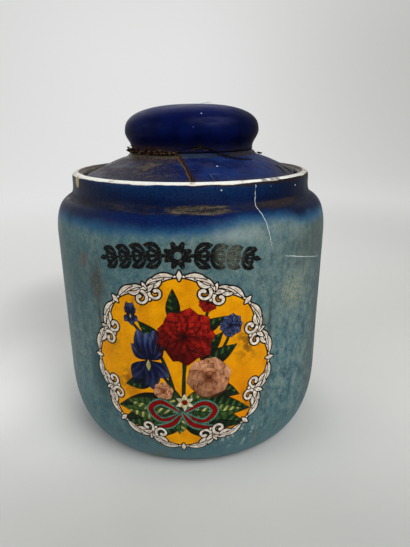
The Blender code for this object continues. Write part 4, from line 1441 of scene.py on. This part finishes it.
def marks(jar_wall, lid_wall, knob_wall):
    """Cracks, scratches, the glue that holds the knob, and crumbs."""
    pale = mottled("pale_crack", (196, 204, 204), (150, 160, 164), 1.5, 0.7, 0.05)
    glue = mottled("old_glue", (18, 9, 6), (56, 29, 15), 1.4, 0.6, 0.2, 0.12)
    crumb = mottled("dry_glue", (58, 42, 28), (116, 96, 68), 1.0, 0.8, 0.2, 0.1)
    bare_edge = mottled("chipped_edge", (34, 30, 26), (84, 75, 58), 0.8, 0.8, 0.1, 0.1)
    faint = mottled("faint_scratch", (70, 82, 116), (104, 116, 144), 1.0, 0.7, 0.05, 0.1)
    gap = mottled("crack_shadow", (6, 5, 8), (20, 16, 18), 1.0, 0.9, 0.05, 0.1)

    def on_lid(turn, reach, lift=0.0):
        """Points on the lid, at degrees from the front and distances from the centre line."""
        return lid_wall.at(turn * ARC_OF_DEGREE, lid_wall.up_at_radius(reach * MM), lift * MM)

    def on_knob(turn, height, lift=0.0):
        return knob_wall.at(turn * ARC_OF_DEGREE, knob_wall.up_at_height(height * MM), lift * MM)

    # On the wall, from the lip down by the band, and a scratch to the right of the panel
    crack = ((30.0, 122.4), (30.0, 118.0), (29.6, 114.7), (30.4, 111.6), (31.4, 106.0), (32.7, 99.7))
    scratch = ((39.7, 95.0), (50.0, 92.6), (62.0, 89.8), (69.8, 88.0))
    for name, line, amount, seed, knots in (
        ("wall_crack", crack, 0.12, 5, ((0, 0.2), (0.5, 0.18), (0.9, 0.27), (1, 0.05))),
        ("wall_scratch", scratch, 0.08, 6, ((0, 0.1), (0.15, 0.26), (1, 0.06))),
    ):
        across, height = crooked(line, amount, seed)
        path = jar_wall.at(across * MM, jar_wall.up_at_height(height * MM), 0.0)
        thread(name, path, widths(len(path), *knots), pale, "jar_glaze", "jar")

    # The seam of glue that runs down the dome in front
    seam = ((-12.4, 28.4), (-9.4, 29.6), (-6.0, 33.3), (-2.7, 38.1), (-0.8, 42.2), (0.8, 45.8), (1.2, 47.8))
    count = 60
    turn, reach = filled(seam, count)
    wobble = np.random.RandomState(8).normal(0.0, 0.25, count)
    radii = (0.6 + 0.2 * np.random.RandomState(9).normal(0.0, 1.0, count)).clip(0.3, 0.95)
    thread("glue_seam", on_lid(turn + wobble, reach, -0.1), radii, glue)
    ragged = np.random.RandomState(10).uniform(0.15, 0.85, count)
    thread("glue_seam_edge", on_lid(turn - 1.2 + wobble * 0.4, reach), radii * ragged, crumb)

    # Lumps of glue round the left of the knob's foot
    rng = np.random.RandomState(11)
    lumps = []
    for place in np.linspace(-88.0, -12.0, 150):
        turn = place + rng.normal(0.0, 1.2)
        out = 28.2 + abs(rng.normal(0.0, 0.9))
        high = 132.3 + abs(rng.normal(0.0, 0.8))
        lumps.append((turn, out, high, rng.uniform(0.2, 0.8)))
    blobs("glue_lumps", lumps[::2] + lumps[1::4], glue)
    blobs("glue_crumbs", [(t + 1.0, o + 0.6, h + 0.1, s * 0.6) for t, o, h, s in lumps[1::2]], crumb)

    # The knob's crack and its chipped lip, and the crack that goes on from it over the dome
    jag = (
        (-0.6, 134.3), (0.8, 134.8), (3.0, 135.2), (5.2, 135.0), (7.7, 135.8), (10.2, 135.0),
        (12.7, 134.6), (15.0, 134.3), (16.9, 133.9), (19.6, 133.6), (22.3, 133.0),
    )
    count, chipped = 50, 34
    turn, high = filled(jag, count)
    high = high + np.random.RandomState(12).normal(0.0, 0.22, count)
    radii = widths(count, (0, 0.3), (0.3, 0.5), (0.7, 0.5), (1, 0.42))
    thread("knob_crack", on_knob(turn, high, -0.05), radii, gap, "knob_glaze")
    ragged = np.random.RandomState(14).uniform(0.14, 0.38, chipped)
    thread("knob_crack_lip", on_knob(turn[:chipped], high[:chipped] - 0.7), ragged, bare_edge, "knob_glaze")
    edge = ((22.3, 28.3), (26.6, 29.1), (29.0, 29.4), (32.0, 30.0), (37.0, 31.1), (44.1, 33.0), (52.0, 33.4))
    count = 60
    turn, reach = filled(edge, count)
    reach = reach + np.random.RandomState(13).normal(0.0, 0.3, count)
    thread("lid_crack", on_lid(turn, reach), widths(count, (0, 0.4), (0.2, 0.56), (0.8, 0.42), (1, 0.1)), gap)

    # Short cracks and scratches on the dome
    for name, line, wide, look in (
        ("edge_crack", ((64.3, 40.4), (64.4, 42.0), (63.4, 43.6), (61.4, 45.6), (60.7, 47.5)), 0.26, gap),
        ("edge_crack_outer", ((74.0, 43.0), (73.0, 44.6), (72.6, 46.0), (70.4, 47.6)), 0.34, gap),
        ("dome_scratch", ((9.6, 41.6), (10.2, 43.0), (10.9, 44.6), (11.3, 46.4)), 0.11, faint),
        ("dome_scratch_side", ((9.8, 42.2), (12.0, 42.0), (15.5, 42.8)), 0.08, faint),
    ):
        turn, reach = crooked(line, 0.1, len(name))
        shares = widths(len(turn), (0, 0.5), (0.3, 1.0), (0.8, 0.8), (1, 0.2))
        thread(name, on_lid(turn, reach), shares * wide, look)
    hair = curve([(4.4, -3.0, 152.5), (6.2, -2.6, 152.9), (8.2, -2.4, 153.2), (9.6, -2.3, 153.3)]) * MM
    thread("lint", hair, np.full(len(hair), 0.09), pale, "knob_glaze")
    crumbs = ((88, 31.2, 130.6, 0.6), (92, 32.4, 130.2, 0.7), (95, 31.6, 130.4, 0.45), (84, 31.4, 130.4, 0.4))
    blobs("edge_crumbs", crumbs, glue)


camera()
stage()
clay = mottled("bare_clay", (206, 196, 178), (160, 140, 112), 6.0, 0.7, 0.1)
jar_wall, lid_wall, knob_wall = jar_skin(), lid_skin(clay), knob_skin(clay)
small_skins()
drawings(jar_wall)
marks(jar_wall, lid_wall, knob_wall)

bpy.context.scene.view_settings.view_transform = "Standard"
